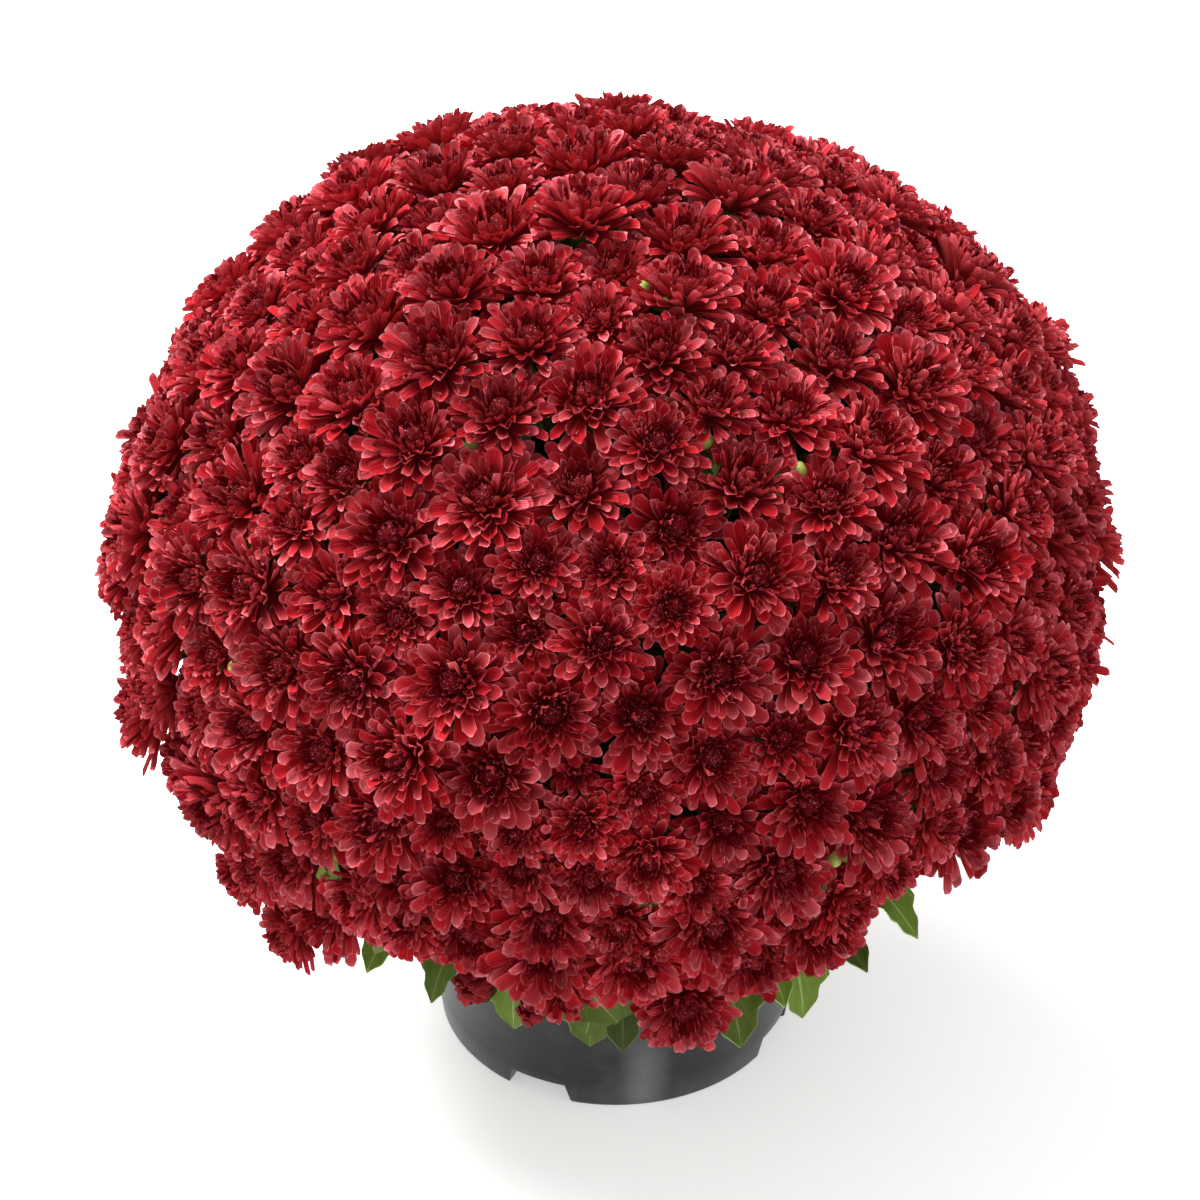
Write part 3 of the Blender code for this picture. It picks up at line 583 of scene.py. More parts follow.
class Plant:
    """Where every bloom, branch and stem of the plant is, worked out once."""

    def __init__(self):
        self.centres, self.axes, self.sizes, self.turns = lay_out_blooms()
        self.radii = BLOOM_SPREAD * BLOOM_PITCH * self.sizes
        self.roots = self.centres + self.axes * (BACK_RISE * self.radii)[:, None]
        self.spray = group_sprays(self.centres)
        self.members = [np.flatnonzero(self.spray == k) for k in range(SPRAY_COUNT)]
        self.stem_of = []
        self.carrier = []
        for members in self.members:
            own = min(members, key=lambda k: sector_turn(self.roots[k])[0])
            self.carrier.append(own)
            self.stem_of.append(sector_turn(self.roots[own])[1])
        self.start = [None] * SPRAY_COUNT
        for stem in range(STEM_COUNT):
            carried = [k for k in range(SPRAY_COUNT) if self.stem_of[k] == stem]
            carried.sort(key=lambda k: self.roots[self.carrier[k]][2])
            for step, k in enumerate(carried):
                share = (step + 0.5) / len(carried)
                self.start[k] = along_stem(stem, BRANCH_START + (STEM_TOP - BRANCH_START) * share)

    def stalk_path(self, spray, root, axis):
        """The three control points of a bloom's stalk, from its spray's fork to its root."""
        start = self.start[spray]
        fork = start + FORK_SHARE * (self.roots[self.carrier[spray]] - start)
        return fork, root - axis * STALK_STRAIGHT * np.linalg.norm(root - fork), root

    def small_heads(self, young_count):
        """Young blooms in the widest gaps, then green buds: centre, axis, radius, spray of each."""
        places = BALL_CENTRE + spiral(GAP_PROBES) * BALL_SEMI_AXES * YOUNG_DEPTH
        azimuth = np.arctan2(places[:, 0], -places[:, 1])
        places = places[places[:, 2] > skirt_limit(azimuth) - YOUNG_DROP]
        centres, radii = self.centres, self.radii
        wanted = [None] * young_count + [place_on_ball(*bud) for bud in GREEN_BUDS]
        heads = []
        for near in wanted:
            room = (np.linalg.norm(places[:, None] - centres[None], axis=2) - radii[None]).min(axis=1)
            if near is None:
                place = places[room.argmax()]
                radius = float(np.clip(room.max() + YOUNG_OVERLAP, *YOUNG_RADII))
            else:
                too_far = np.linalg.norm(places - near, axis=1) > GREEN_BUD_SEARCH
                place = places[(room - too_far).argmax()]
                place = BALL_CENTRE + GREEN_BUD_RISE * (place - BALL_CENTRE)
                radius = GREEN_BUD_RADIUS
            axis = unit((place - BALL_CENTRE) / BALL_SEMI_AXES ** 2)
            spray = self.spray[np.linalg.norm(self.centres - place, axis=1).argmin()]
            heads.append((place, unit(axis + BLOOM_LOOKS_UP * UP), radius, int(spray)))
            centres = np.vstack([centres, place])
            radii = np.append(radii, radius)
        return heads[:young_count], heads[young_count:]


def along_stem(stem, height):
    """The point of a stem at a height, over its collar."""
    azimuth = stem_azimuths()[stem]
    collar = STEM_CIRCLE * outward(azimuth) + COLLAR_HEIGHT * UP
    top = (STEM_CIRCLE + STEM_LEAN) * outward(azimuth) + STEM_TOP * UP
    return collar + (height - collar[2]) / (top[2] - collar[2]) * (top - collar)


# Shader groups and materials

class Wire:
    """A value that a node gives out; arithmetic with it adds math nodes."""

    def __init__(self, nodes, socket):
        self.nodes = nodes
        self.socket = socket

    def __add__(self, other):
        return self.nodes.math("ADD", self, other)

    def __sub__(self, other):
        return self.nodes.math("SUBTRACT", self, other)

    def __rsub__(self, other):
        return self.nodes.math("SUBTRACT", other, self)

    def __mul__(self, other):
        return self.nodes.math("MULTIPLY", self, other)

    def __abs__(self):
        return self.nodes.math("ABSOLUTE", self)

    __radd__ = __add__
    __rmul__ = __mul__


class Nodes:
    """Adds and links the nodes of one tree, with short calls."""

    def __init__(self, tree):
        self.tree = tree
        self.count = 0

    def fill(self, node, values):
        """Links wires to a node's inputs, and sets the others to plain values."""
        for label, value in dict(values).items():
            socket = node.inputs[label]
            if isinstance(value, Wire):
                self.tree.links.new(value.socket, socket)
            elif socket.type == "RGBA" and len(value) == 3:
                socket.default_value = (*value, 1)
            else:
                socket.default_value = value

    def add(self, kind, values=(), **attributes):
        node = self.tree.nodes.new(kind)
        node.location = (180 * (self.count % 8), -220 * (self.count // 8))
        self.count += 1
        for name, value in attributes.items():
            setattr(node, name, value)
        self.fill(node, values)
        return node

    def out(self, kind, output, values=(), **attributes):
        """One output of a new node."""
        return Wire(self, self.add(kind, values, **attributes).outputs[output])

    def math(self, operation, first, second=0.0, clamp=False):
        return self.out(
            "ShaderNodeMath", 0, {0: first, 1: second}, operation=operation, use_clamp=clamp)

    def ramp(self, value, low, high, out_low=0.0, out_high=1.0):
        """A value eased from one range to another."""
        values = dict(enumerate((value, low, high, out_low, out_high)))
        return self.out("ShaderNodeMapRange", 0, values, interpolation_type="SMOOTHSTEP")

    def mix(self, share, first, second, blend="MIX"):
        """A mix of two colours."""
        return self.out(
            "ShaderNodeMix", 2, {0: share, 6: first, 7: second}, data_type="RGBA", blend_type=blend)

    def shade(self, colour, factor):
        """A colour made lighter or darker by a factor."""
        grey = self.out("ShaderNodeCombineColor", 0, {0: factor, 1: factor, 2: factor})
        return self.mix(1.0, colour, grey, "MULTIPLY")

    def noise(self, place, scale, detail=3.0, roughness=0.5):
        return self.out("ShaderNodeTexNoise", "Fac", {
            "Vector": place, "Scale": scale, "Detail": detail, "Roughness": roughness})

    def split(self, vector):
        """The three parts of a vector."""
        node = self.add("ShaderNodeSeparateXYZ", {0: vector})
        return [Wire(self, socket) for socket in node.outputs]

    def group(self, name, **values):
        """The outputs of a shared node group, which is built the first time it is used."""
        tree = bpy.data.node_groups.get(name) or SHARED_GROUPS[name]()
        node = self.add("ShaderNodeGroup", values, node_tree=tree)
        return [Wire(self, socket) for socket in node.outputs]

    def bump(self, height, strength, distance):
        values = {"Height": height, "Strength": strength, "Distance": distance}
        return self.out("ShaderNodeBump", 0, values)

    def place(self):
        """The place on the object."""
        return self.out("ShaderNodeTexCoord", "Object")

    def blade(self):
        """Shares across and along a blade, from the piece's own UV map."""
        return self.split(self.out("ShaderNodeUVMap", 0, uv_map="blade"))[:2]

    def tone(self):
        """The three tone numbers of a copy: depth, its own draw, its bloom's draw."""
        return self.split(self.out("ShaderNodeAttribute", "Vector", attribute_name="tone"))


def new_group(name, inputs, outputs):
    """The nodes and the inputs of a new shader group, from the kinds of its named sockets."""
    group = bpy.data.node_groups.new(name, "ShaderNodeTree")
    for side, sockets in (("INPUT", inputs), ("OUTPUT", outputs)):
        for label, kind in sockets.items():
            group.interface.new_socket(label, in_out=side, socket_type=f"NodeSocket{kind}")
    nodes = Nodes(group)
    source = nodes.add("NodeGroupInput")
    return nodes, [Wire(nodes, source.outputs[label]) for label in inputs]


def mottle_group():
    """Soft patches and fine grain on a colour, lighter and darker."""
    nodes, (colour, place, scale, amount) = new_group(
        "Mottle", {"Colour": "Color", "Place": "Vector", "Scale": "Float", "Amount": "Float"},
        {"Colour": "Color", "Grain": "Float"})
    patches = nodes.noise(place, scale, 4.0, 0.6)
    grain = nodes.noise(place, scale * 9.0, 2.0)
    factor = (patches * 1.4 + grain * 0.6 - 1.0) * amount + 1.0
    nodes.add("NodeGroupOutput", {"Colour": nodes.shade(colour, factor), "Grain": grain})
    return nodes.tree


def rib_group():
    """Fine ribs along a blade, from the share across it, as a height."""
    nodes, (across, along, count) = new_group(
        "Ribs", {"Across": "Float", "Along": "Float", "Count": "Float"}, {"Height": "Float"})
    wander = nodes.math("SINE", along * 7.0) * 0.02
    turns = (across + wander) * count * (2 * math.pi)
    nodes.add("NodeGroupOutput", {"Height": (nodes.math("COSINE", turns) + 1.0) * 0.5})
    return nodes.tree


def dust_group():
    """Dust and scuffs: thicker towards the foot, broken up by noise, with thin scratches."""
    nodes, (place, low, high, amount) = new_group(
        "Dust", {"Place": "Vector", "Low": "Float", "High": "Float", "Amount": "Float"},
        {"Mask": "Float"})
    height = nodes.ramp(nodes.split(place)[2], low, high, 1.0, 0.35)
    patches = nodes.ramp(nodes.noise(place, 38.0, 6.0, 0.62), 0.42, 0.72)
    stretched = nodes.out("ShaderNodeMapping", 0, {"Vector": place, "Scale": (9.0, 9.0, 260.0)})
    scratches = nodes.ramp(nodes.noise(stretched, 3.0, 5.0, 0.7), 0.62, 0.74)
    both = nodes.math("ADD", patches, scratches * 0.5, clamp=True)
    nodes.add("NodeGroupOutput", {"Mask": both * height * amount})
    return nodes.tree


SHARED_GROUPS = {"Mottle": mottle_group, "Ribs": rib_group, "Dust": dust_group}


def new_material(name):
    material = bpy.data.materials.new(name)
    material.use_nodes = True
    nodes = Nodes(material.node_tree)
    return material, nodes, material.node_tree.nodes["Principled BSDF"]


def petal_material(name, settings, darkness):
    """Velvety petals: dark foot and heart, crimson blade, paler rims and dusty backs.

    The dark foot is partly painted shade where the petals overlap, the paler rims and tips are
    partly painted highlight, and the petals give out a faint painted glow.
    """
    material, nodes, shader = new_material(name)
    across, along = nodes.blade()
    depth, own, bloom = nodes.tone()
    place = nodes.place()
    ribs, = nodes.group("Ribs", Across=across, Along=along, Count=7.0)
    # The paler rim and tip: partly the petal's own paler edge, partly a painted highlight where the
    # curled edge catches the light
    tip = nodes.ramp(along, 0.82, 1.0)
    rim = nodes.ramp(abs(across - 0.5), 0.38, 0.50) * nodes.ramp(along, 0.2, 0.75)
    broken = nodes.ramp(nodes.noise(place, 420.0, 2.0), 0.38, 0.60, 0.30, 1.0)
    edge = nodes.math("MAXIMUM", rim, tip) * broken
    veil = nodes.ramp(along, 0.35, 0.9) * (own * own * 0.46) + ribs * 0.10
    pale = nodes.math("ADD", edge * (own * 0.60 + 0.30), veil, clamp=True)
    # The paler rims fade on the inner petals, deeper in the bloom
    pale = pale * nodes.ramp(depth, 0.25, 1.0, 1.0, 0.45)
    # Darker towards the foot: partly the petal's own deeper crimson, partly painted shade where the
    # petals overlap
    body = nodes.mix(nodes.ramp(along, 0.05, 0.62), settings.heart_colour, settings.body_colour)
    colour = nodes.mix(pale, body, settings.rim_colour)
    heart = nodes.ramp(depth, 0.30, 0.85, darkness, 0.90) * (1.0 - tip * 0.80)
    colour = nodes.mix(heart, colour, settings.heart_colour)
    back = nodes.out("ShaderNodeNewGeometry", "Backfacing") * (0.75 - depth * 0.40)
    colour = nodes.mix(back, colour, settings.back_colour)
    colour = nodes.mix(darkness, colour, settings.heart_colour)
    colour = nodes.shade(colour, own * 0.16 + bloom * 0.34 + 0.75)
    colour, grain = nodes.group("Mottle", Colour=colour, Place=place, Scale=160.0, Amount=0.16)
    nodes.fill(shader, {
        "Base Color": colour, "Roughness": grain * 0.16 + 0.52,
        "Normal": nodes.bump(ribs, 0.35, 0.0004),
        # A faint painted glow of the petal's own crimson, standing in for light through the petals
        "Emission Color": settings.body_colour, "Emission Strength": PETAL_GLOW,
        "Sheen Weight": 0.02, "Sheen Roughness": 0.4, "Sheen Tint": (1.0, 0.55, 0.6),
        "Specular IOR Level": 0.03})
    return material


def floret_material(settings):
    """The tight florets of a bloom's heart: dark, each with a small paler tip."""
    material, nodes, shader = new_material("heart florets")
    place = nodes.place()
    cells = nodes.out("ShaderNodeTexVoronoi", "Distance", {"Vector": place, "Scale": 800.0})
    tips = nodes.ramp(cells, 0.10, 0.42, 1.0, 0.0)
    uneven = nodes.ramp(nodes.noise(place, 450.0, 2.0), 0.36, 0.64, 0.15, 0.85)
    nodes.fill(shader, {
        "Base Color": nodes.mix(tips * uneven, settings.heart_colour, settings.rim_colour),
        "Roughness": 0.6, "Normal": nodes.bump(tips, 0.8, 0.0008), "Specular IOR Level": 0.05})
    return material


def leaf_material(name, base, vein_colour, vein_strength):
    """A leaf face: midrib and side veins from its UV map, mottled green."""
    material, nodes, shader = new_material(name)
    across, along = nodes.blade()
    own = nodes.tone()[1]
    off_middle = abs(across - 0.5)
    midrib = nodes.ramp(off_middle, 0.012, 0.05, 1.0, 0.0)
    wave = abs(nodes.math("SINE", (along - off_middle * 0.55) * 15.0))
    vein = nodes.math("MAXIMUM", midrib, nodes.ramp(wave, 0.0, 0.14, 0.5, 0.0))
    colour = nodes.mix(vein * vein_strength, base, vein_colour)
    colour, grain = nodes.group(
        "Mottle", Colour=nodes.shade(colour, own * 1.40 + 0.40), Place=nodes.place(), Scale=120.0,
        Amount=0.35)
    nodes.fill(shader, {
        "Base Color": colour, "Roughness": grain * 0.2 + 0.42,
        "Normal": nodes.bump(grain * 0.4 - vein, 0.5, 0.0006), "Specular IOR Level": 0.15})
    return material


def stalk_material(name, colour):
    """Ribbed green stalks and bud scales, a little brown in patches."""
    material, nodes, shader = new_material(name)
    across, along = nodes.blade()
    place = nodes.place()
    ribs, = nodes.group("Ribs", Across=across, Along=along, Count=6.0)
    browning = nodes.ramp(nodes.noise(place, 24.0, 4.0), 0.55, 0.8, 0.0, 0.5)
    colour, grain = nodes.group(
        "Mottle", Colour=nodes.mix(browning, colour, (0.15, 0.10, 0.035)), Place=place,
        Scale=200.0, Amount=0.3)
    nodes.fill(shader, {
        "Base Color": colour, "Roughness": grain * 0.2 + 0.48,
        "Normal": nodes.bump(ribs, 0.4, 0.0003)})
    return material


def plastic_material(settings):
    """Satin black plastic: fine mould grain, dust, scuffs and one long pale painted highlight."""
    material, nodes, shader = new_material("black plastic")
    place = nodes.place()
    x, y, z = nodes.split(place)
    colour, grain = nodes.group(
        "Mottle", Colour=settings.plastic_colour, Place=place, Scale=45.0, Amount=0.25)
    dust_and_highlight, = nodes.group("Dust", Place=place, Low=0.0, High=0.10, Amount=0.13)
    # A painted highlight: a pale streak down the front, strongest at the foot and gone by its height
    off_highlight = abs(nodes.math("ARCTAN2", x, y * -1.0) - HIGHLIGHT_AZIMUTH)
    painted_highlight = nodes.ramp(off_highlight, 0.0, HIGHLIGHT_WIDTH, 0.55, 0.0) * nodes.ramp(z, 0.0, HIGHLIGHT_HEIGHT, 1.0, 0.0)
    # From here the mask holds both the dust and the painted highlight
    dust_and_highlight = dust_and_highlight + painted_highlight
    nodes.fill(shader, {
        "Base Color": nodes.mix(dust_and_highlight, colour, settings.dust_and_highlight_colour),
        "Roughness": dust_and_highlight * 0.45 + 0.36 + grain * 0.08,
        "Normal": nodes.bump(nodes.noise(place, 900.0, 2.0), 0.12, 0.0004),
        "Specular IOR Level": 0.36, "Sheen Weight": 0.20, "Sheen Roughness": 0.30,
        "Sheen Tint": (0.90, 0.95, 1.0)})
    return material


def mix_material(settings):
    """Dark peaty potting mix with paler fibres."""
    material, nodes, shader = new_material("potting mix")
    crumbs = nodes.noise(nodes.place(), 260.0, 6.0, 0.7)
    fibres = nodes.ramp(crumbs, 0.55, 0.75)
    nodes.fill(shader, {
        "Base Color": nodes.mix(fibres, settings.mix_colour, (0.16, 0.105, 0.06)),
        "Roughness": nodes.ramp(crumbs, 0.3, 0.7, 0.85, 1.0),
        "Normal": nodes.bump(crumbs, 0.9, 0.003)})
    return material


def floor_material():
    """A plain white table, lit a little from below, with the faintest mottle."""
    material, nodes, shader = new_material("pale floor")
    colour, _ = nodes.group(
        "Mottle", Colour=(0.93, 0.93, 0.93), Place=nodes.place(), Scale=2.0, Amount=0.01)
    nodes.fill(shader, {
        "Base Color": colour, "Roughness": 0.9, "Emission Color": (1, 1, 1),
        "Emission Strength": FLOOR_GLOW})
    return material


# Pieces modelled once

def model_blade(name, columns, widths, cups, rises=(), tip_back=0.0, tip_lift=0.0, lobes=()):
    """A flat grid shaped row by row, from its foot to its tip, into a blade of unit length.

    Each row gets its width, and its sides are lifted by its cup. Rows move up the blade to their
    shares in rises. The sides of the last row are drawn back to round the tip, the whole last row
    is lifted into a spoon's lip, and each row in lobes has its outer points pushed forward.
    """
    rows = len(widths) - 1
    deselect_everything()
    bpy.ops.mesh.primitive_grid_add(
        x_subdivisions=columns, y_subdivisions=rows, size=1, location=(0, 0.5, 0))
    blade = begin_edit(name)
    near = 0.3 / rows
    for row in range(rows, -1, -1):
        along = row / rows

        def move_points(low, high, offset):
            """Moves the row's points whose share of the way to its sides is in a range."""
            select_points(blade, lambda point: (
                abs(point.y - along) < near and low <= abs(point.x) / widths[row] < high))
            bpy.ops.transform.translate(value=offset)

        select_points(blade, lambda point: abs(point.y - along) < near)
        bpy.ops.transform.resize(value=(widths[row], 1, 1), center_override=(0, along, 0))
        move_points(0.49, 1, (0, 0, cups[row]))
        if columns == 4:
            move_points(0.2, 0.3, (0, 0, 0.22 * cups[row]))
        if row == rows and tip_back:
            move_points(0.49, 1, (0, -tip_back, 0))
        if row == rows and tip_lift:
            move_points(0, 1, (0, 0, tip_lift))
        if row in dict(lobes):
            move_points(0.49, 1, (0, dict(lobes)[row], 0))
        if row in dict(rises):
            move_points(0, 1, (0, dict(rises)[row] - along, 0))
    bpy.ops.object.mode_set(mode="OBJECT")
    return blade


def model_stalk(name, sides, stations):
    """A round stalk of unit length along Y, with rings of points to bend it by."""
    deselect_everything()
    bpy.ops.mesh.primitive_cylinder_add(
        vertices=sides, radius=1, depth=1, end_fill_type="NGON", location=(0, 0.5, 0),
        rotation=(math.radians(-90), 0, 0))
    stalk = begin_edit(name, "EDGE")
    shape = bmesh.from_edit_mesh(stalk.data)
    for edge in shape.edges:
        edge.select = abs(edge.verts[0].co.y - edge.verts[1].co.y) > 0.5
    shape.select_flush_mode()
    bmesh.update_edit_mesh(stalk.data)
    bpy.ops.mesh.subdivide(number_cuts=stations)
    bpy.ops.object.mode_set(mode="OBJECT")
    return stalk


def model_calyx():
    """The green cup under a bloom, along +Z from its stalk's end, of unit radius and height."""
    deselect_everything()
    bpy.ops.mesh.primitive_circle_add(vertices=9, radius=0.22, fill_type="NGON")
    calyx = begin_edit("calyx")
    top = 0
    for growth, rise in ((2.6, 0.28), (1.42, 0.34), (1.23, 0.38)):
        select_points(calyx, lambda point: point.z > top - 0.01)
        draw_up(rise, growth, top)
        top += rise
    bpy.ops.mesh.select_all(action="SELECT")
    bpy.ops.uv.smart_project()
    end_edit()
    return calyx


def model_button():
    """The button of tight florets in a bloom's heart, a low dome with its top at the origin."""
    deselect_everything()
    bpy.ops.mesh.primitive_circle_add(vertices=9, radius=0.5, fill_type="NGON")
    button = begin_edit("button")
    bpy.ops.mesh.select_all(action="SELECT")
    draw_up(-1, 2, 0)
    end_edit()
    return button


def model_closed_bud():
    """A small closed bud of unit radius, its scales drawn in to a blunt point along +Z."""
    deselect_everything()
    bpy.ops.mesh.primitive_uv_sphere_add(segments=10, ring_count=6, radius=1)
    bud = begin_edit("closed bud")
    select_points(bud, lambda point: point.z > 0.4)
    bpy.ops.transform.resize(value=(0.82, 0.82, 0.88), center_override=(0, 0, 0.4))
    bpy.ops.object.mode_set(mode="OBJECT")
    return bud


# Setting copies in place

def lay_blades(template, length, width, tilt, curl, roll, sway, azimuth, start, rise):
    """Copies of a blade set round a +Z axis, as (copy, point, 3).

    Each is sized, curled along its length, rolled on its own line, turned up by its tilt and
    turned round the axis to its azimuth, with its foot at a distance and height.
    """
    def turned(first, second, angle):
        return (first * np.cos(angle) - second * np.sin(angle),
                first * np.sin(angle) + second * np.cos(angle))

    length, width, tilt, curl, roll, sway, azimuth, start, rise = (
        column(values, len(azimuth))
        for values in (length, width, tilt, curl, roll, sway, azimuth, start, rise))
    across, along, lift = template.points.T[:, None]
    bend = np.where(np.abs(curl) < 1e-3, 1e-3, curl)
    lift = lift * width
    x = across * width + sway * length * along ** 2
    y = length * np.sin(bend * along) / bend - lift * np.sin(bend * along)
    z = length * (1 - np.cos(bend * along)) / bend + lift * np.cos(bend * along)
    z, x = turned(z, x, roll)
    y, z = turned(y, z, tilt)
    x, y = turned(x, y + start, azimuth)
    return np.stack([x, y, z + rise], axis=2)


def set_on(points, centre, axis):
    """Points round +Z turned to stand on a centre along an axis."""
    across, along = frame_across(axis)
    return centre + points @ np.array([across, along, axis])


def bend_stalks(template, path, start_radius, end_radius):
    """Copies of a stalk along quadratic paths, as (path, 3 control points, 3)."""
    path = np.asarray(path, float)
    x, along, z = template.points.T[:, None, :, None]
    first, middle, last = path[:, None].transpose(2, 0, 1, 3)
    way = unit((1 - along) * (middle - first) + along * (last - middle))
    chord = last - first
    upright = np.abs(chord[..., 2:]) > 0.9 * np.linalg.norm(chord, axis=2, keepdims=True)
    across = np.cross(chord, np.where(upright, [1.0, 0.0, 0.0], UP))
    side = unit(across - (across * way).sum(axis=2, keepdims=True) * way)
    radius = start_radius + (end_radius - start_radius) * along
    return quadratic(along, first, middle, last) + radius * (x * side + z * np.cross(way, side))


# The blooms

class Petals:
    """The petal templates, from broad outer ones to the heart's, and the heart's button."""

    def __init__(self):
        self.outer = Template(model_blade(
            "outer petal", 3, (0.28, 0.64, 0.97, 0.95, 0.58), (0.10, 0.18, 0.22, 0.22, 0.14),
            rises=((1, 0.34), (2, 0.66), (3, 0.90)), tip_back=0.03))
        self.spoon = Template(model_blade(
            "spoon petal", 3, (0.30, 0.58, 0.92, 1.00, 0.56), (0.14, 0.24, 0.34, 0.36, 0.26),
            rises=((1, 0.36), (2, 0.68), (3, 0.91)), tip_back=0.025, tip_lift=0.10))
        self.middle = Template(model_blade(
            "middle petal", 2, (0.38, 0.70, 0.97, 0.94, 0.52), (0.24, 0.32, 0.40, 0.42, 0.30),
            rises=((2, 0.60), (3, 0.88)), tip_back=0.05, tip_lift=0.10))
        self.heart = Template(model_blade(
            "heart petal", 2, (0.60, 1.00, 0.60), (0.30, 0.42, 0.40), rises=((1, 0.62),)))
        self.button = Template(model_button())

    def pick(self, share, draw):
        """Which template each petal has, by its share of the way out from the heart."""
        broad = share > BROAD_SHARE
        spoon = broad & (draw.random(len(share)) < 0.5)
        heart = share < HEART_SHARE
        return (
            (self.outer, broad & ~spoon), (self.spoon, spoon),
            (self.middle, ~broad & ~heart), (self.heart, heart))


# A petal's height over the bloom's centre, curl and width by its share of the way out
DOME = ((0, 0.18, 0.34, 0.62, 0.82, 1), (0.20, 0.27, 0.34, 0.27, 0.10, -0.10))
YOUNG_DOME = ((0, 1), (0.05, 0.45))
CURLS = ((0, 0.25, 0.45, 0.7, 1), (0.9, 0.85, 0.40, -0.15, -0.10))
WIDTH_SHARES = (0, 0.3, 0.6, 1)
INNER_WIDTHS = (0.060, 0.085, 0.19)
# How many petals and how open the blooms are, and how open and how young the young ones are
FULLNESS = (0.90, 1.10)
OPENNESS = (0.70, 1.18)
YOUNG_OPENNESS = (0.9, 1.2)
YOUTH = (0.5, 1.0)
# How much the petals of a bloom differ
HEIGHT_SWING = 0.10
AZIMUTH_SWING = 0.10
REACH_SWING = 0.05
CURL_SWING = 0.28
WIDTH_SWING = 0.12
ROLL_SWING = 0.26
SWAY_SWING = 0.07
STRAY_SHARE = 0.05
# How much closer the petals stand towards the rim
CROWDING = 1.08
STRAY_TILTS = (0.1, 0.6)
# Where a petal starts, out from the axis: in the heart a share of its reach, round it a little way
# out and further by its share; and how far below the centre a petal round the heart starts
HEART_START = 0.75
ROUND_START = (0.03, 0.11)
ROUND_FOOT = (-0.30, 0.10)


def bloom_petals(batch, petals, settings, centre, axis, turn, radius, openness, youth, draw):
    """Adds one double bloom's petals to a batch; a young one has fewer, more upright petals."""
    fullness = draw.uniform(*FULLNESS) * (1 - YOUNG_FEWER * youth)
    outside = np.arange(int(settings.petals * fullness)) + 0.5
    inside = np.arange(int(settings.heart_petals * fullness)) + 0.5
    share = np.concatenate([
        1 - (1 - HEART_SHARE) * (outside / len(outside)) ** CROWDING,
        HEART_SHARE * np.sqrt(inside / len(inside))])
    count = len(share)
    azimuth = turn + np.arange(count) * GOLDEN_ANGLE + draw.normal(0, AZIMUTH_SWING, count)
    reach = share * draw.normal(1, REACH_SWING, count) * (1 - YOUNG_CLOSER * youth)
    dome = np.interp(share, *DOME) + youth * np.interp(share, *YOUNG_DOME)
    height = dome * openness + HEIGHT_SWING * openness * (draw.random(count) - 0.5)
    in_heart = share < HEART_SHARE
    start = np.where(in_heart, HEART_START * share, ROUND_START[0] + ROUND_START[1] * share)
    foot = np.where(in_heart, 0.0, ROUND_FOOT[0] + ROUND_FOOT[1] * (1 - share))
    out, up = reach - start, height - foot
    curl = np.interp(share, *CURLS) + draw.normal(0, CURL_SWING, count)
    stray = draw.random(count) < STRAY_SHARE
    tilt = np.arctan2(up, out) - curl / 2 + np.where(stray, draw.uniform(*STRAY_TILTS, count), 0)
    width = np.interp(share, WIDTH_SHARES, (*INNER_WIDTHS, settings.petal_width))
    width = width * radius * draw.normal(1, WIDTH_SWING, count)
    roll = draw.normal(0, ROLL_SWING, count)
    sway = draw.normal(0, SWAY_SWING, count)
    tone = np.column_stack([1 - share, draw.random(count), np.full(count, draw.random())])
    measures = (
        np.hypot(out, up) * radius, width, tilt, curl, roll, sway, azimuth, start * radius,
        foot * radius)
    for template, chosen in petals.pick(share, draw):
        points = lay_blades(template, *(values[chosen] for values in measures))
        batch.add(template, set_on(points, centre, axis), tone[chosen])
    button = petals.button.points * BUTTON_SHAPE + BUTTON_TOP * openness * UP
    batch.add(petals.button, set_on(radius * button[None], centre, axis), (1, 0.5, 0.5), slot=1)


def dress(obj, slot, *nodes):
    """A finished piece rides on the plant's one body and stands for its CAD nodes."""
    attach(obj, "root")
    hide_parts(*nodes)


class MUM_OT_blooms(bpy.types.Operator):
    """Adds the double blooms, one piece of petals for each spray"""

    bl_idname = "mum.blooms"
    bl_label = "Blooms"

    def execute(self, context):
        settings = context.scene.mum_blooms
        materials = (petal_material("crimson petals", settings, 0.0), floret_material(settings))
        plant = Plant()
        petals = Petals()
        young, _ = plant.small_heads(settings.young_blooms)
        draw = np.random.default_rng(BLOOM_SEED + 2)
        for k, members in enumerate(plant.members):
            batch = Batch()
            for own in members:
                radius = settings.spread * BLOOM_PITCH * plant.sizes[own]
                bloom_petals(
                    batch, petals, settings, plant.centres[own], plant.axes[own],
                    plant.turns[own], radius, draw.uniform(*OPENNESS), 0.0, draw)
            for centre, axis, radius, spray in young:
                if spray == k:
                    bloom_petals(
                        batch, petals, settings, centre, axis, draw.uniform(0, 2 * math.pi),
                        radius, draw.uniform(*YOUNG_OPENNESS), draw.uniform(*YOUTH), draw)
            piece = batch.make(f"spray_{k + 1:02d}_petals", materials)
            dress(piece, "petal_crimson", f"spray_{k + 1:02d}")
        return {"FINISHED"}


def lean_out(axis, turn, lean):
    """The ways along and over a leaf that stands out from an axis at a turn, leaning up it."""
    across, along = frame_across(axis)
    flat = math.cos(turn) * across + math.sin(turn) * along
    return unit(flat + lean * axis), unit(axis - lean * flat)


def bud_leaves(template, centre, axis, draw):
    """Two small leaves beside a green bud, standing out between the blooms."""
    turn = draw.uniform(0, 2 * math.pi)
    ways = [lean_out(axis, turn + apart, BUD_LEAF_LEAN) for apart in (0.0, BUD_LEAF_TURN)]
    ahead, upward = zip(*ways)
    length = draw.uniform(*BUD_LEAF_LENGTHS, 2)
    foot = np.tile(centre - GREEN_BUD_RADIUS * axis, (2, 1))
    return arch_leaves(
        template, foot, ahead, upward, BUD_LEAF_FALL, length, BUD_LEAF_WIDTH * length,
        BUD_LEAF_WAVE)


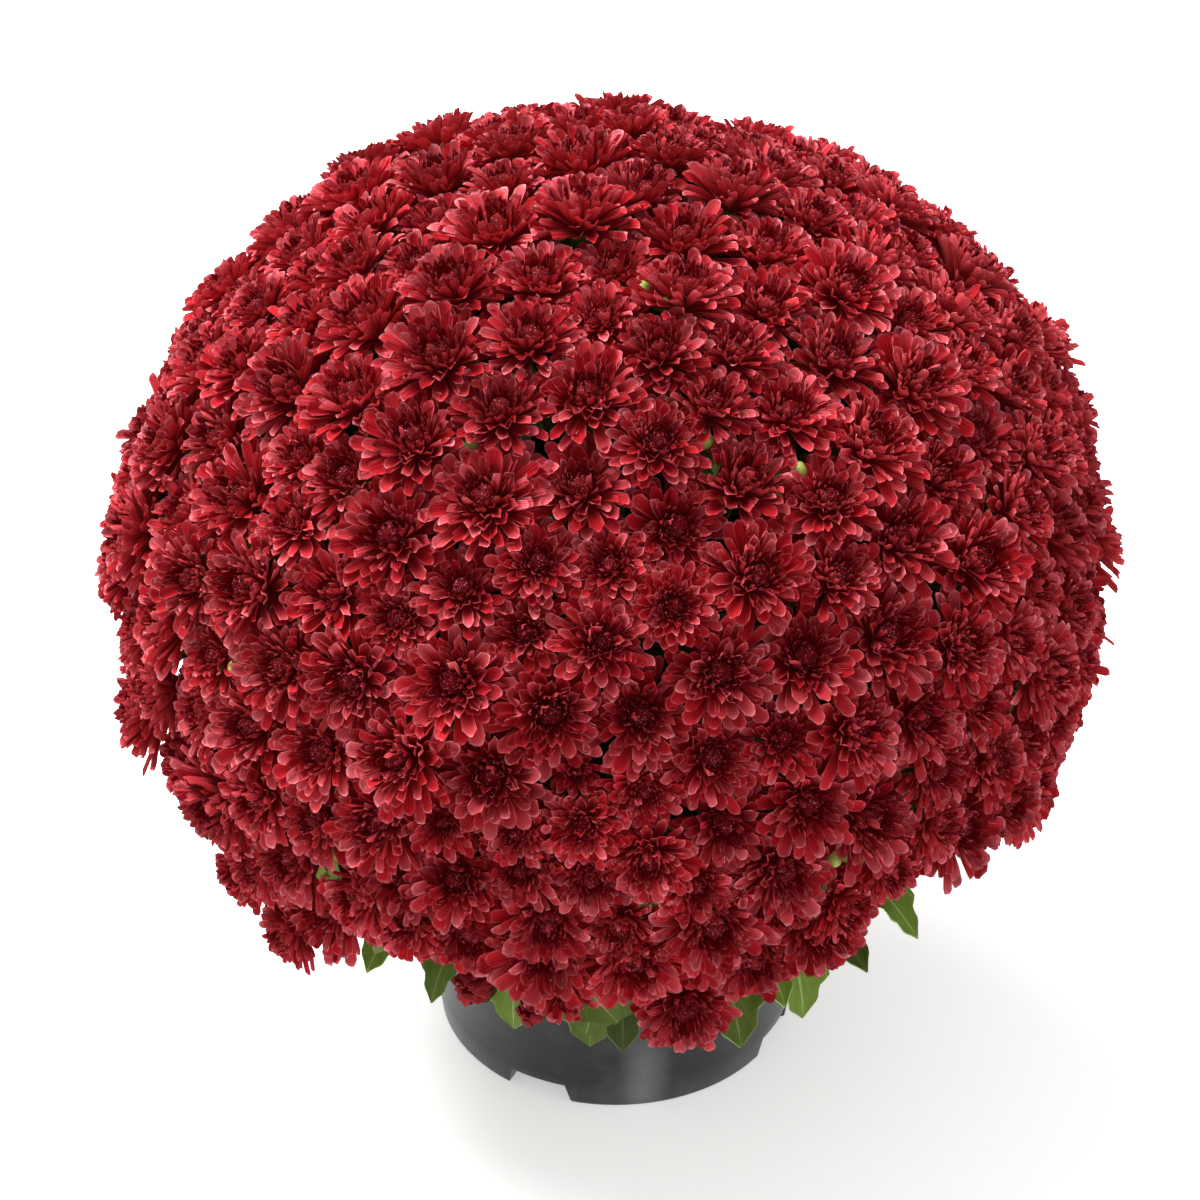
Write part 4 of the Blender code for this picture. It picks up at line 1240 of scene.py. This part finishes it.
class MUM_OT_calyxes(bpy.types.Operator):
    """Adds the green buds and each bloom's green cup and stalk, one piece for each spray"""

    bl_idname = "mum.calyxes"
    bl_label = "Calyxes and stalks"

    def execute(self, context):
        settings = context.scene.mum_leaves
        materials = (
            stalk_material("green stalks", settings.stalk_colour),
            stalk_material("green buds", settings.bud_colour),
            leaf_material("small leaf", settings.top_colour, (0.15, 0.22, 0.045), 0.50))
        plant = Plant()
        calyx = Template(model_calyx())
        closed_bud = Template(model_closed_bud())
        stalk = Template(model_stalk("bloom stalk", 5, 3))
        leaf = inner_leaf_template()
        draw = np.random.default_rng(BLOOM_SEED + 5)
        young, buds = plant.small_heads(context.scene.mum_blooms.young_blooms)
        for k, members in enumerate(plant.members):
            batch = Batch()
            paths = []
            heads = [(plant.roots[own], plant.axes[own], plant.radii[own]) for own in members]
            for centre, axis, radius, spray in young:
                if spray == k:
                    heads.append((centre - YOUNG_ROOT * radius * axis, axis, radius))
            for centre, axis, radius, spray in buds:
                if spray == k:
                    bud = set_on(closed_bud.points[None] * radius, centre, axis)
                    batch.add(closed_bud, bud, PLAIN_TONE, slot=1)
                    heads.append((centre - radius * axis, axis, radius))
                    leaves = bud_leaves(leaf, centre, axis, draw)
                    batch.add(leaf, leaves, draw.random((2, 3)), slot=2)
            for root, axis, radius in heads:
                cup = set_on(calyx.points[None] * CALYX_SHAPE * radius, root, axis)
                batch.add(calyx, cup, PLAIN_TONE)
                fork, bend, end = plant.stalk_path(k, root, axis)
                paths.append((fork, bend, end + STALK_REACH * radius * axis))
            batch.add_stalks(stalk, paths, *BLOOM_STALK_RADII)
            piece = batch.make(f"spray_{k + 1:02d}_stalks", materials)
            dress(piece, "leaf_green", f"spray_{k + 1:02d}")
        return {"FINISHED"}


# Leafy stems and buds

LEAF_ROWS = (0.06, 0.08, 0.18, 0.50, 0.84, 0.56, 1.02, 0.58, 0.88, 0.42, 0.50, 0.25, 0.03)
LEAF_CUPS = (0.0, 0.01, 0.04, 0.09, 0.14, 0.11, 0.15, 0.10, 0.12, 0.07, 0.06, 0.02, 0.0)
LEAF_LOBES = ((4, 0.045), (6, 0.060), (8, 0.060), (10, 0.040))
LEAF_WIDTH = 0.54
# The lobed leaves end in a point, a little beyond the blunt solids
LEAF_STRETCH = 1.10
LEAF_THICKNESS_SHARE = 0.016
LEAF_WIDTH_RANGE = (0.85, 1.1)
LEAF_WAVES = (0.04, 0.10)
# The inner leaves: where they grow along a bloom's stalk, from the fork, and how much lower and
# further round each next one is, how far they lean up it, and how light they are, kept a little
# darker than the lower leaves as painted shade deep under the blooms
INNER_SHARES = (0.72, 0.96)
INNER_STEP = 0.25
INNER_TURN = 2.2
INNER_TURN_SWING = 0.4
INNER_LEANS = (0.0, 0.35)
INNER_TONES = (0.0, 0.7)
# The range of their lengths, how much longer each next one is, their width as a share of their
# length, how far they fall and how wavy they are
INNER_LENGTHS = (0.8, 1.2)
INNER_GROWTH = 0.25
INNER_WIDTH = 0.66
INNER_FALLS = (0.1, 0.8)
INNER_WAVES = (0.05, 0.12)


def leaf_template(materials):
    """A lobed leaf with thickness: its upper face in slot 0, its underside in slot 1."""
    leaf = model_blade("leaf", 6, LEAF_ROWS, LEAF_CUPS, lobes=LEAF_LOBES)
    for material in materials:
        leaf.data.materials.append(material)
    apply_modifier(leaf, "SUBSURF", levels=1, render_levels=1)
    apply_modifier(
        leaf, "SOLIDIFY", thickness=LEAF_THICKNESS_SHARE, offset=0, material_offset=1,
        material_offset_rim=1)
    return Template(leaf)


def inner_leaf_template():
    """A plain thin leaf with few faces, for the many leaves under the blooms."""
    return Template(model_blade(
        "inner leaf", 4, (0.10, 0.50, 0.92, 1.00, 0.66, 0.12),
        (0.0, 0.04, 0.07, 0.07, 0.04, 0.0), lobes=((1, 0.04), (2, 0.07), (3, 0.06))))


def arch_leaves(template, foot, forward, upward, fall, length, width, wave):
    """Copies of a leaf from their feet, arching down from one angle to another, as (copy, point, 3)."""
    first, last, length, width, wave = (
        column(values, len(foot)) for values in (*fall, length, width, wave))
    foot, forward, upward = (np.asarray(value, float)[:, None] for value in (foot, forward, upward))
    side = np.cross(forward, upward)
    across, along, lift = template.points.T[:, None]
    rate = np.where(np.abs(last - first) < 1e-3, 1e-3, last - first)
    angle = first + rate * along
    ripple = wave * np.sin(along * 17.0 + 3.0 * np.sign(across)) * np.abs(across)
    lift = (lift + ripple) * width
    ahead = length * (np.sin(angle) - np.sin(first)) / rate + lift * np.sin(angle)
    rise = length * (np.cos(angle) - np.cos(first)) / rate + lift * np.cos(angle)
    moves = (across * width)[..., None] * side + ahead[..., None] * forward
    return foot + moves + rise[..., None] * upward


def lower_leaves(batch, leaf, stalk, stem, draw):
    """The leaves at the skirt, where the CAD model has them, on their stalks."""
    own = [row for row in all_lower_leaves() if leaf_sector(math.radians(row[0])) == stem]
    degrees, droop, start_radius, length, level = np.array(own).T
    count = len(own)
    ahead = np.array([outward(azimuth) for azimuth in np.radians(degrees)])
    height = np.array(LEAF_HEIGHTS)[level.astype(int)]
    foot = start_radius[:, None] * ahead + height[:, None] * UP
    fall = np.outer((LEAF_FALL[0], sum(LEAF_FALL)), np.radians(droop))
    length = LEAF_STRETCH * length
    width = LEAF_WIDTH * length * draw.uniform(*LEAF_WIDTH_RANGE, count)
    leaves = arch_leaves(
        leaf, foot, ahead, np.tile(UP, (count, 1)), fall, length, width,
        draw.uniform(*LEAF_WAVES, count))
    batch.add(leaf, leaves, draw.random((count, 3)), slot=1)
    paths = []
    for end in foot:
        start = along_stem(stem, end[2])
        paths.append((start, (start + end) / 2 + STALK_ARCH * UP, end))
    batch.add_stalks(stalk, paths, STALK_RADIUS, STALK_RADIUS * STALK_TAPER)


def inner_leaves(batch, leaf, plant, stem, settings, draw):
    """Leaves on the bloom stalks, spread under the blooms to close the gaps between them."""
    feet = []
    ways = []
    for spray in np.flatnonzero(np.array(plant.stem_of) == stem):
        for own in plant.members[spray]:
            axis = plant.axes[own]
            path = plant.stalk_path(spray, plant.roots[own], axis)
            turn = draw.uniform(0, 2 * math.pi)
            for k in range(settings.inner_leaves):
                share = draw.uniform(*INNER_SHARES) - INNER_STEP * k
                feet.append(quadratic(share, *path))
                angle = turn + INNER_TURN * k + draw.normal(0, INNER_TURN_SWING)
                ways.append(lean_out(axis, angle, draw.uniform(*INNER_LEANS)))
    ahead, upward = zip(*ways)
    count = len(feet)
    length = settings.inner_length * draw.uniform(*INNER_LENGTHS, count)
    length = length * (1 + INNER_GROWTH * (np.arange(count) % settings.inner_leaves))
    leaves = arch_leaves(
        leaf, feet, ahead, upward, (0.0, draw.uniform(*INNER_FALLS, count)), length,
        length * INNER_WIDTH, draw.uniform(*INNER_WAVES, count))
    # Their tones run darker than the lower leaves': painted shade deep under the blooms
    batch.add(leaf, leaves, draw.uniform(*INNER_TONES, (count, 3)), slot=1)


def bud_axis(azimuth):
    """The way a bud faces: out from the pot and a little up."""
    return unit(outward(azimuth) + BUD_LOOKS_UP * UP)


def bud_stalks(batch, calyx, stalk, stem):
    """The cup and stalk of each half-open bud that a stem carries."""
    for azimuth, distance, height, radius in BUDS:
        if leaf_sector(azimuth) != stem:
            continue
        axis = bud_axis(azimuth)
        centre = distance * outward(azimuth) + height * UP
        back = centre - radius * axis
        cup = set_on(calyx.points[None] * BUD_CUP_SHAPE * radius, back, axis)
        batch.add(calyx, cup, PLAIN_TONE)
        knee_radius, knee_height = BUD_KNEE
        start = along_stem(stem, knee_height)
        knee = knee_radius * outward(azimuth) + knee_height * UP
        bend = back - BUD_STALK_STRAIGHT * radius * axis
        paths = ((start, (start + knee) / 2, knee), (knee, bend, back))
        batch.add_stalks(stalk, paths, STALK_RADIUS, STALK_RADIUS)


class MUM_OT_stems(bpy.types.Operator):
    """Adds the six leafy stems with their branches, leaves and bud stalks"""

    bl_idname = "mum.stems"
    bl_label = "Leafy stems"

    def execute(self, context):
        settings = context.scene.mum_leaves
        green = stalk_material("green stems", settings.stalk_colour)
        top = leaf_material("leaf face", settings.top_colour, (0.20, 0.29, 0.08), 0.55)
        under = leaf_material("leaf underside", settings.under_colour, (0.27, 0.36, 0.13), 0.50)
        plant = Plant()
        leaf = leaf_template((top, under))
        inner = inner_leaf_template()
        calyx = Template(model_calyx())
        thick = Template(model_stalk("stem", 10, 7))
        thin = Template(model_stalk("branch", 6, 4))
        draw = np.random.default_rng(BLOOM_SEED + 3)
        for stem in range(STEM_COUNT):
            batch = Batch()
            foot = STEM_CIRCLE * outward(stem_azimuths()[stem])
            knee = foot + (COLLAR_HEIGHT + STEM_KNEE) * UP
            path = (foot + STEM_BOTTOM * UP, knee, along_stem(stem, STEM_TOP))
            shaft = bend_stalks(thick, [path], STEM_RADIUS, STEM_RADIUS * STEM_TAPER)
            batch.add(thick, shaft, PLAIN_TONE)
            paths = []
            for spray in range(SPRAY_COUNT):
                if plant.stem_of[spray] == stem:
                    end = plant.roots[plant.carrier[spray]]
                    start = plant.start[spray]
                    paths.append((start, (start + end) / 2 + BRANCH_ARCH * UP, end))
            batch.add_stalks(thin, paths, BRANCH_RADIUS, BRANCH_TIP_RADIUS)
            lower_leaves(batch, leaf, thin, stem, draw)
            inner_leaves(batch, inner, plant, stem, settings, draw)
            bud_stalks(batch, calyx, thin, stem)
            piece = batch.make(f"leafy_stem_{stem + 1}_dressed", (green, top, under))
            dress(piece, "leaf_green", f"leafy_stem_{stem + 1}")
        return {"FINISHED"}


class MUM_OT_buds(bpy.types.Operator):
    """Adds the half-open buds' packed petals"""

    bl_idname = "mum.buds"
    bl_label = "Half-open buds"

    def execute(self, context):
        material = petal_material("bud petals", context.scene.mum_blooms, 0.64)
        petals = Petals()
        draw = np.random.default_rng(BLOOM_SEED + 4)
        order = np.arange(BUD_PETALS)
        share = 1 - BUD_PACKING * order / BUD_PETALS
        for number, (azimuth, distance, height, radius) in enumerate(BUDS):
            # Each petal wraps round a ball of its own, from low at the back up over the front
            ball = share * radius
            wrap = BUD_WRAPS[number] - BUD_WRAP_SWING * draw.random(BUD_PETALS)
            tilt = BUD_FOOT_ANGLE + draw.normal(0, BUD_TILT_SWING, BUD_PETALS)
            points = lay_blades(
                petals.middle, wrap * ball, BUD_PETAL_WIDTH * ball, tilt, wrap,
                draw.normal(0, BUD_ROLL_SWING, BUD_PETALS),
                draw.normal(0, BUD_SWAY_SWING, BUD_PETALS),
                order * GOLDEN_ANGLE, math.sin(BUD_FOOT_ANGLE) * ball,
                -math.cos(BUD_FOOT_ANGLE) * ball)
            tone = np.column_stack([
                0.5 * (1 - share), draw.random(BUD_PETALS), np.full(BUD_PETALS, 0.2)])
            centre = distance * outward(azimuth) + height * UP
            batch = Batch()
            batch.add(petals.middle, set_on(points, centre, bud_axis(azimuth)), tone)
            piece = batch.make(f"bud_{number + 1}_petals", (material,))
            dress(piece, "bud_red", f"bud_{number + 1}")
        return {"FINISHED"}


# The pot and its mix

def pot_radius(height):
    """The pot's outer radius at a height, without the lip."""
    return POT_BASE_RADIUS + (POT_RIM_RADIUS - POT_BASE_RADIUS) * height / POT_HEIGHT


def model_turned(name, profile, sides):
    """A closed shell drawn up from a circle, ring by ring, through (radius, height) stops."""
    deselect_everything()
    radius, height = profile[0]
    bpy.ops.mesh.primitive_circle_add(
        vertices=sides, radius=radius, fill_type="NOTHING", location=(0, 0, height))
    shell = begin_edit(name, "EDGE")
    bpy.ops.mesh.select_all(action="SELECT")
    bpy.ops.mesh.edge_face_add()
    for next_radius, next_height in profile[1:]:
        draw_up(next_height - height, next_radius / radius, height)
        radius, height = next_radius, next_height
    bpy.ops.mesh.edge_face_add()
    end_edit()
    return shell


def model_channel(azimuth, near, far, margin, bottom, top):
    """A block that runs outwards along an azimuth, wider than a notch by a margin at each side."""
    deselect_everything()
    middle = outward(azimuth) * (near + far) / 2
    low, high = (np.interp(z, (0, NOTCH_HEIGHT), NOTCH_WIDTHS) + 2 * margin for z in (bottom, top))
    bpy.ops.mesh.primitive_cube_add(size=1)
    block = begin_edit("channel")
    select_points(block, lambda point: point.z > 0)
    bpy.ops.transform.resize(value=(high / low, 1, 1), center_override=(0, 0, 0.5))
    bpy.ops.object.mode_set(mode="OBJECT")
    block.location = (middle[0], middle[1], (bottom + top) / 2)
    block.rotation_euler = (0, 0, azimuth)
    block.scale = (low, far - near, top - bottom)
    place_in_mesh(block)
    return block


def model_drain(azimuth):
    """The cutter of the drain hole over a notch."""
    x, y, _ = (POT_BASE_RADIUS - NOTCH_DEPTH / 2) * outward(azimuth)
    deselect_everything()
    bpy.ops.mesh.primitive_cylinder_add(
        vertices=24, radius=DRAIN_RADIUS, depth=2 * CUT_MARGIN,
        location=(x, y, NOTCH_HEIGHT + CUT_MARGIN / 2))
    cutter = bpy.context.object
    place_in_mesh(cutter)
    return cutter


def join_or_cut(obj, other, operation):
    """One Boolean of a piece with another, which is then removed."""
    apply_modifier(obj, "BOOLEAN", operation=operation, object=other, solver="EXACT")
    bpy.data.objects.remove(other, do_unlink=True)


def notch_azimuths():
    return [NOTCH_AZIMUTH + 2 * math.pi * k / NOTCH_COUNT for k in range(NOTCH_COUNT)]


class MUM_OT_pot(bpy.types.Operator):
    """Adds the thin black pot with its lip, drainage notches and drain holes"""

    bl_idname = "mum.pot"
    bl_label = "Pot"

    def execute(self, context):
        settings = context.scene.mum_pot
        lip_bottom = POT_HEIGHT - LIP_HEIGHT
        over_notch = NOTCH_HEIGHT + 0.006
        base = POT_BASE_RADIUS
        profile = (
            *((base - inset, height) for inset, height in FOOT_PROFILE),
            (pot_radius(over_notch), over_notch),
            (pot_radius(lip_bottom), lip_bottom),
            (pot_radius(lip_bottom) + LIP_OVERHANG, lip_bottom),
            (POT_RIM_RADIUS + LIP_OVERHANG, POT_HEIGHT),
            (POT_RIM_RADIUS - POT_WALL, POT_HEIGHT),
            (pot_radius(POT_FLOOR) - POT_WALL, POT_FLOOR))
        pot = model_turned("pot_shell", profile, settings.sides)
        inner_end = base - NOTCH_DEPTH
        mid_wall = [(pot_radius(z) - POT_WALL / 2, z) for z in (0, POT_HEIGHT / 2)]
        for azimuth in notch_azimuths():
            roof = model_channel(
                azimuth, inner_end - POT_WALL, POT_RIM_RADIUS, POT_WALL,
                POT_FLOOR / 2, NOTCH_HEIGHT + POT_WALL)
            join_or_cut(roof, model_turned("core", mid_wall, settings.sides), "INTERSECT")
            join_or_cut(pot, roof, "UNION")
        for azimuth in notch_azimuths():
            channel = model_channel(
                azimuth, inner_end, base + CUT_MARGIN, 0, -CUT_MARGIN, NOTCH_HEIGHT)
            join_or_cut(pot, channel, "DIFFERENCE")
            join_or_cut(pot, model_drain(azimuth), "DIFFERENCE")
        apply_modifier(
            pot, "BEVEL", width=0.0007, segments=2, limit_method="ANGLE",
            angle_limit=math.radians(40))
        select_only(pot)
        bpy.ops.object.shade_smooth_by_angle(angle=math.radians(35))
        pot.data.materials.clear()
        pot.data.materials.append(plastic_material(settings))
        dress(pot, "black_plastic", "pot")
        return {"FINISHED"}


class MUM_OT_mix(bpy.types.Operator):
    """Adds the potting mix with an uneven crumbly top"""

    bl_idname = "mum.mix"
    bl_label = "Potting mix"

    def execute(self, context):
        bottom = POT_FLOOR + MIX_GAP
        side = POT_WALL + 2 * MIX_GAP
        radius = pot_radius(SOIL_TOP) - side
        profile = [(pot_radius(bottom) - side, bottom), (radius, SOIL_TOP - MIX_EDGE)]
        profile += [(radius * share, SOIL_TOP) for share in MIX_RINGS]
        mix = model_turned("potting_mix", profile, 72)
        for azimuth in notch_azimuths():
            around_notch = model_channel(
                azimuth, POT_BASE_RADIUS - NOTCH_DEPTH - POT_WALL - MIX_GAP, POT_RIM_RADIUS,
                POT_WALL + MIX_GAP, 0, NOTCH_HEIGHT + POT_WALL + MIX_GAP)
            join_or_cut(mix, around_notch, "DIFFERENCE")
        draw = np.random.default_rng(BLOOM_SEED + 5)
        for point in mix.data.vertices:
            if point.co.z > SOIL_TOP - MIX_EDGE / 2:
                point.co.z -= CRUMB_DEPTH * draw.random()
        mix.data.materials.append(mix_material(context.scene.mum_pot))
        mix.data.shade_smooth()
        dress(mix, "potting_soil", "potting_soil")
        return {"FINISHED"}


# The stage

def add_soft_light(name, place, size, power, tint):
    """A round area light that looks at the ball's middle."""
    bpy.ops.object.light_add(type="AREA", location=place)
    light = bpy.context.object
    light.name = name
    light.data.shape = "DISK"
    light.data.size = size
    light.data.energy = power
    light.data.color = tint
    x, y, z = BALL_CENTRE - np.array(place)
    light.rotation_euler = (math.atan2(math.hypot(x, y), -z), 0, math.atan2(-x, y))


class MUM_OT_stage(bpy.types.Operator):
    """Adds the pale floor, the soft studio lights, the white surround and the camera"""

    bl_idname = "mum.stage"
    bl_label = "Stage"

    def execute(self, context):
        settings = context.scene.mum_stage
        deselect_everything()
        bpy.ops.mesh.primitive_plane_add(size=30, location=(0, 0, 0))
        floor = context.object
        floor.name = "floor"
        floor.data.materials.append(floor_material())
        add_soft_light(
            "key light", (-1.15, 0.3, 2.9), 2.4, settings.key_power, (1.0, 0.985, 0.96))
        add_soft_light(
            "fill light", (2.0, -1.2, 1.2), 1.8, settings.fill_power, (0.93, 0.96, 1.0))
        add_soft_light(
            "back light", (-1.1, 1.4, 2.5), 2.0, settings.back_power, (1.0, 0.98, 0.97))
        world = bpy.data.worlds.new("white surround")
        world.use_nodes = True
        background = world.node_tree.nodes["Background"]
        background.inputs["Color"].default_value = (1, 1, 1, 1)
        background.inputs["Strength"].default_value = settings.world_strength
        context.scene.world = world
        bpy.ops.object.camera_add(
            location=(-0.0077, -settings.camera_distance, settings.camera_height),
            rotation=(math.radians(90) - settings.camera_tilt, 0, 0))
        camera = context.object
        camera.data.lens = settings.lens
        camera.data.sensor_width = 36
        context.scene.camera = camera
        context.scene.view_settings.view_transform = "Standard"
        return {"FINISHED"}


class MUM_PT_sidebar(bpy.types.Panel):
    """The chrysanthemum's operators and settings"""

    bl_idname = "MUM_PT_sidebar"
    bl_label = "Pot chrysanthemum"
    bl_space_type = "VIEW_3D"
    bl_region_type = "UI"
    bl_category = "Chrysanthemum"

    def draw(self, context):
        layout = self.layout
        for operator in OPERATORS:
            layout.operator(operator.bl_idname)
        for name in SETTINGS:
            settings = getattr(context.scene, name)
            box = layout.box()
            for label in settings.bl_rna.properties.keys():
                if label not in ("rna_type", "name"):
                    box.prop(settings, label)


OPERATORS = (
    MUM_OT_pot, MUM_OT_mix, MUM_OT_stems, MUM_OT_calyxes, MUM_OT_blooms, MUM_OT_buds, MUM_OT_stage)
SETTINGS = {
    "mum_blooms": BloomSettings,
    "mum_leaves": LeafSettings,
    "mum_pot": PotSettings,
    "mum_stage": StageSettings,
}
CLASSES = (*SETTINGS.values(), *OPERATORS, MUM_PT_sidebar)


def register():
    for cls in CLASSES:
        bpy.utils.register_class(cls)
    for name, cls in SETTINGS.items():
        setattr(bpy.types.Scene, name, PointerProperty(type=cls))


def unregister():
    for name in SETTINGS:
        delattr(bpy.types.Scene, name)
    for cls in reversed(CLASSES):
        bpy.utils.unregister_class(cls)


def main():
    register()
    bpy.ops.mum.pot()
    bpy.ops.mum.mix()
    bpy.ops.mum.stems()
    bpy.ops.mum.calyxes()
    bpy.ops.mum.blooms()
    bpy.ops.mum.buds()
    bpy.ops.mum.stage()


if __name__ == "__main__":
    main()
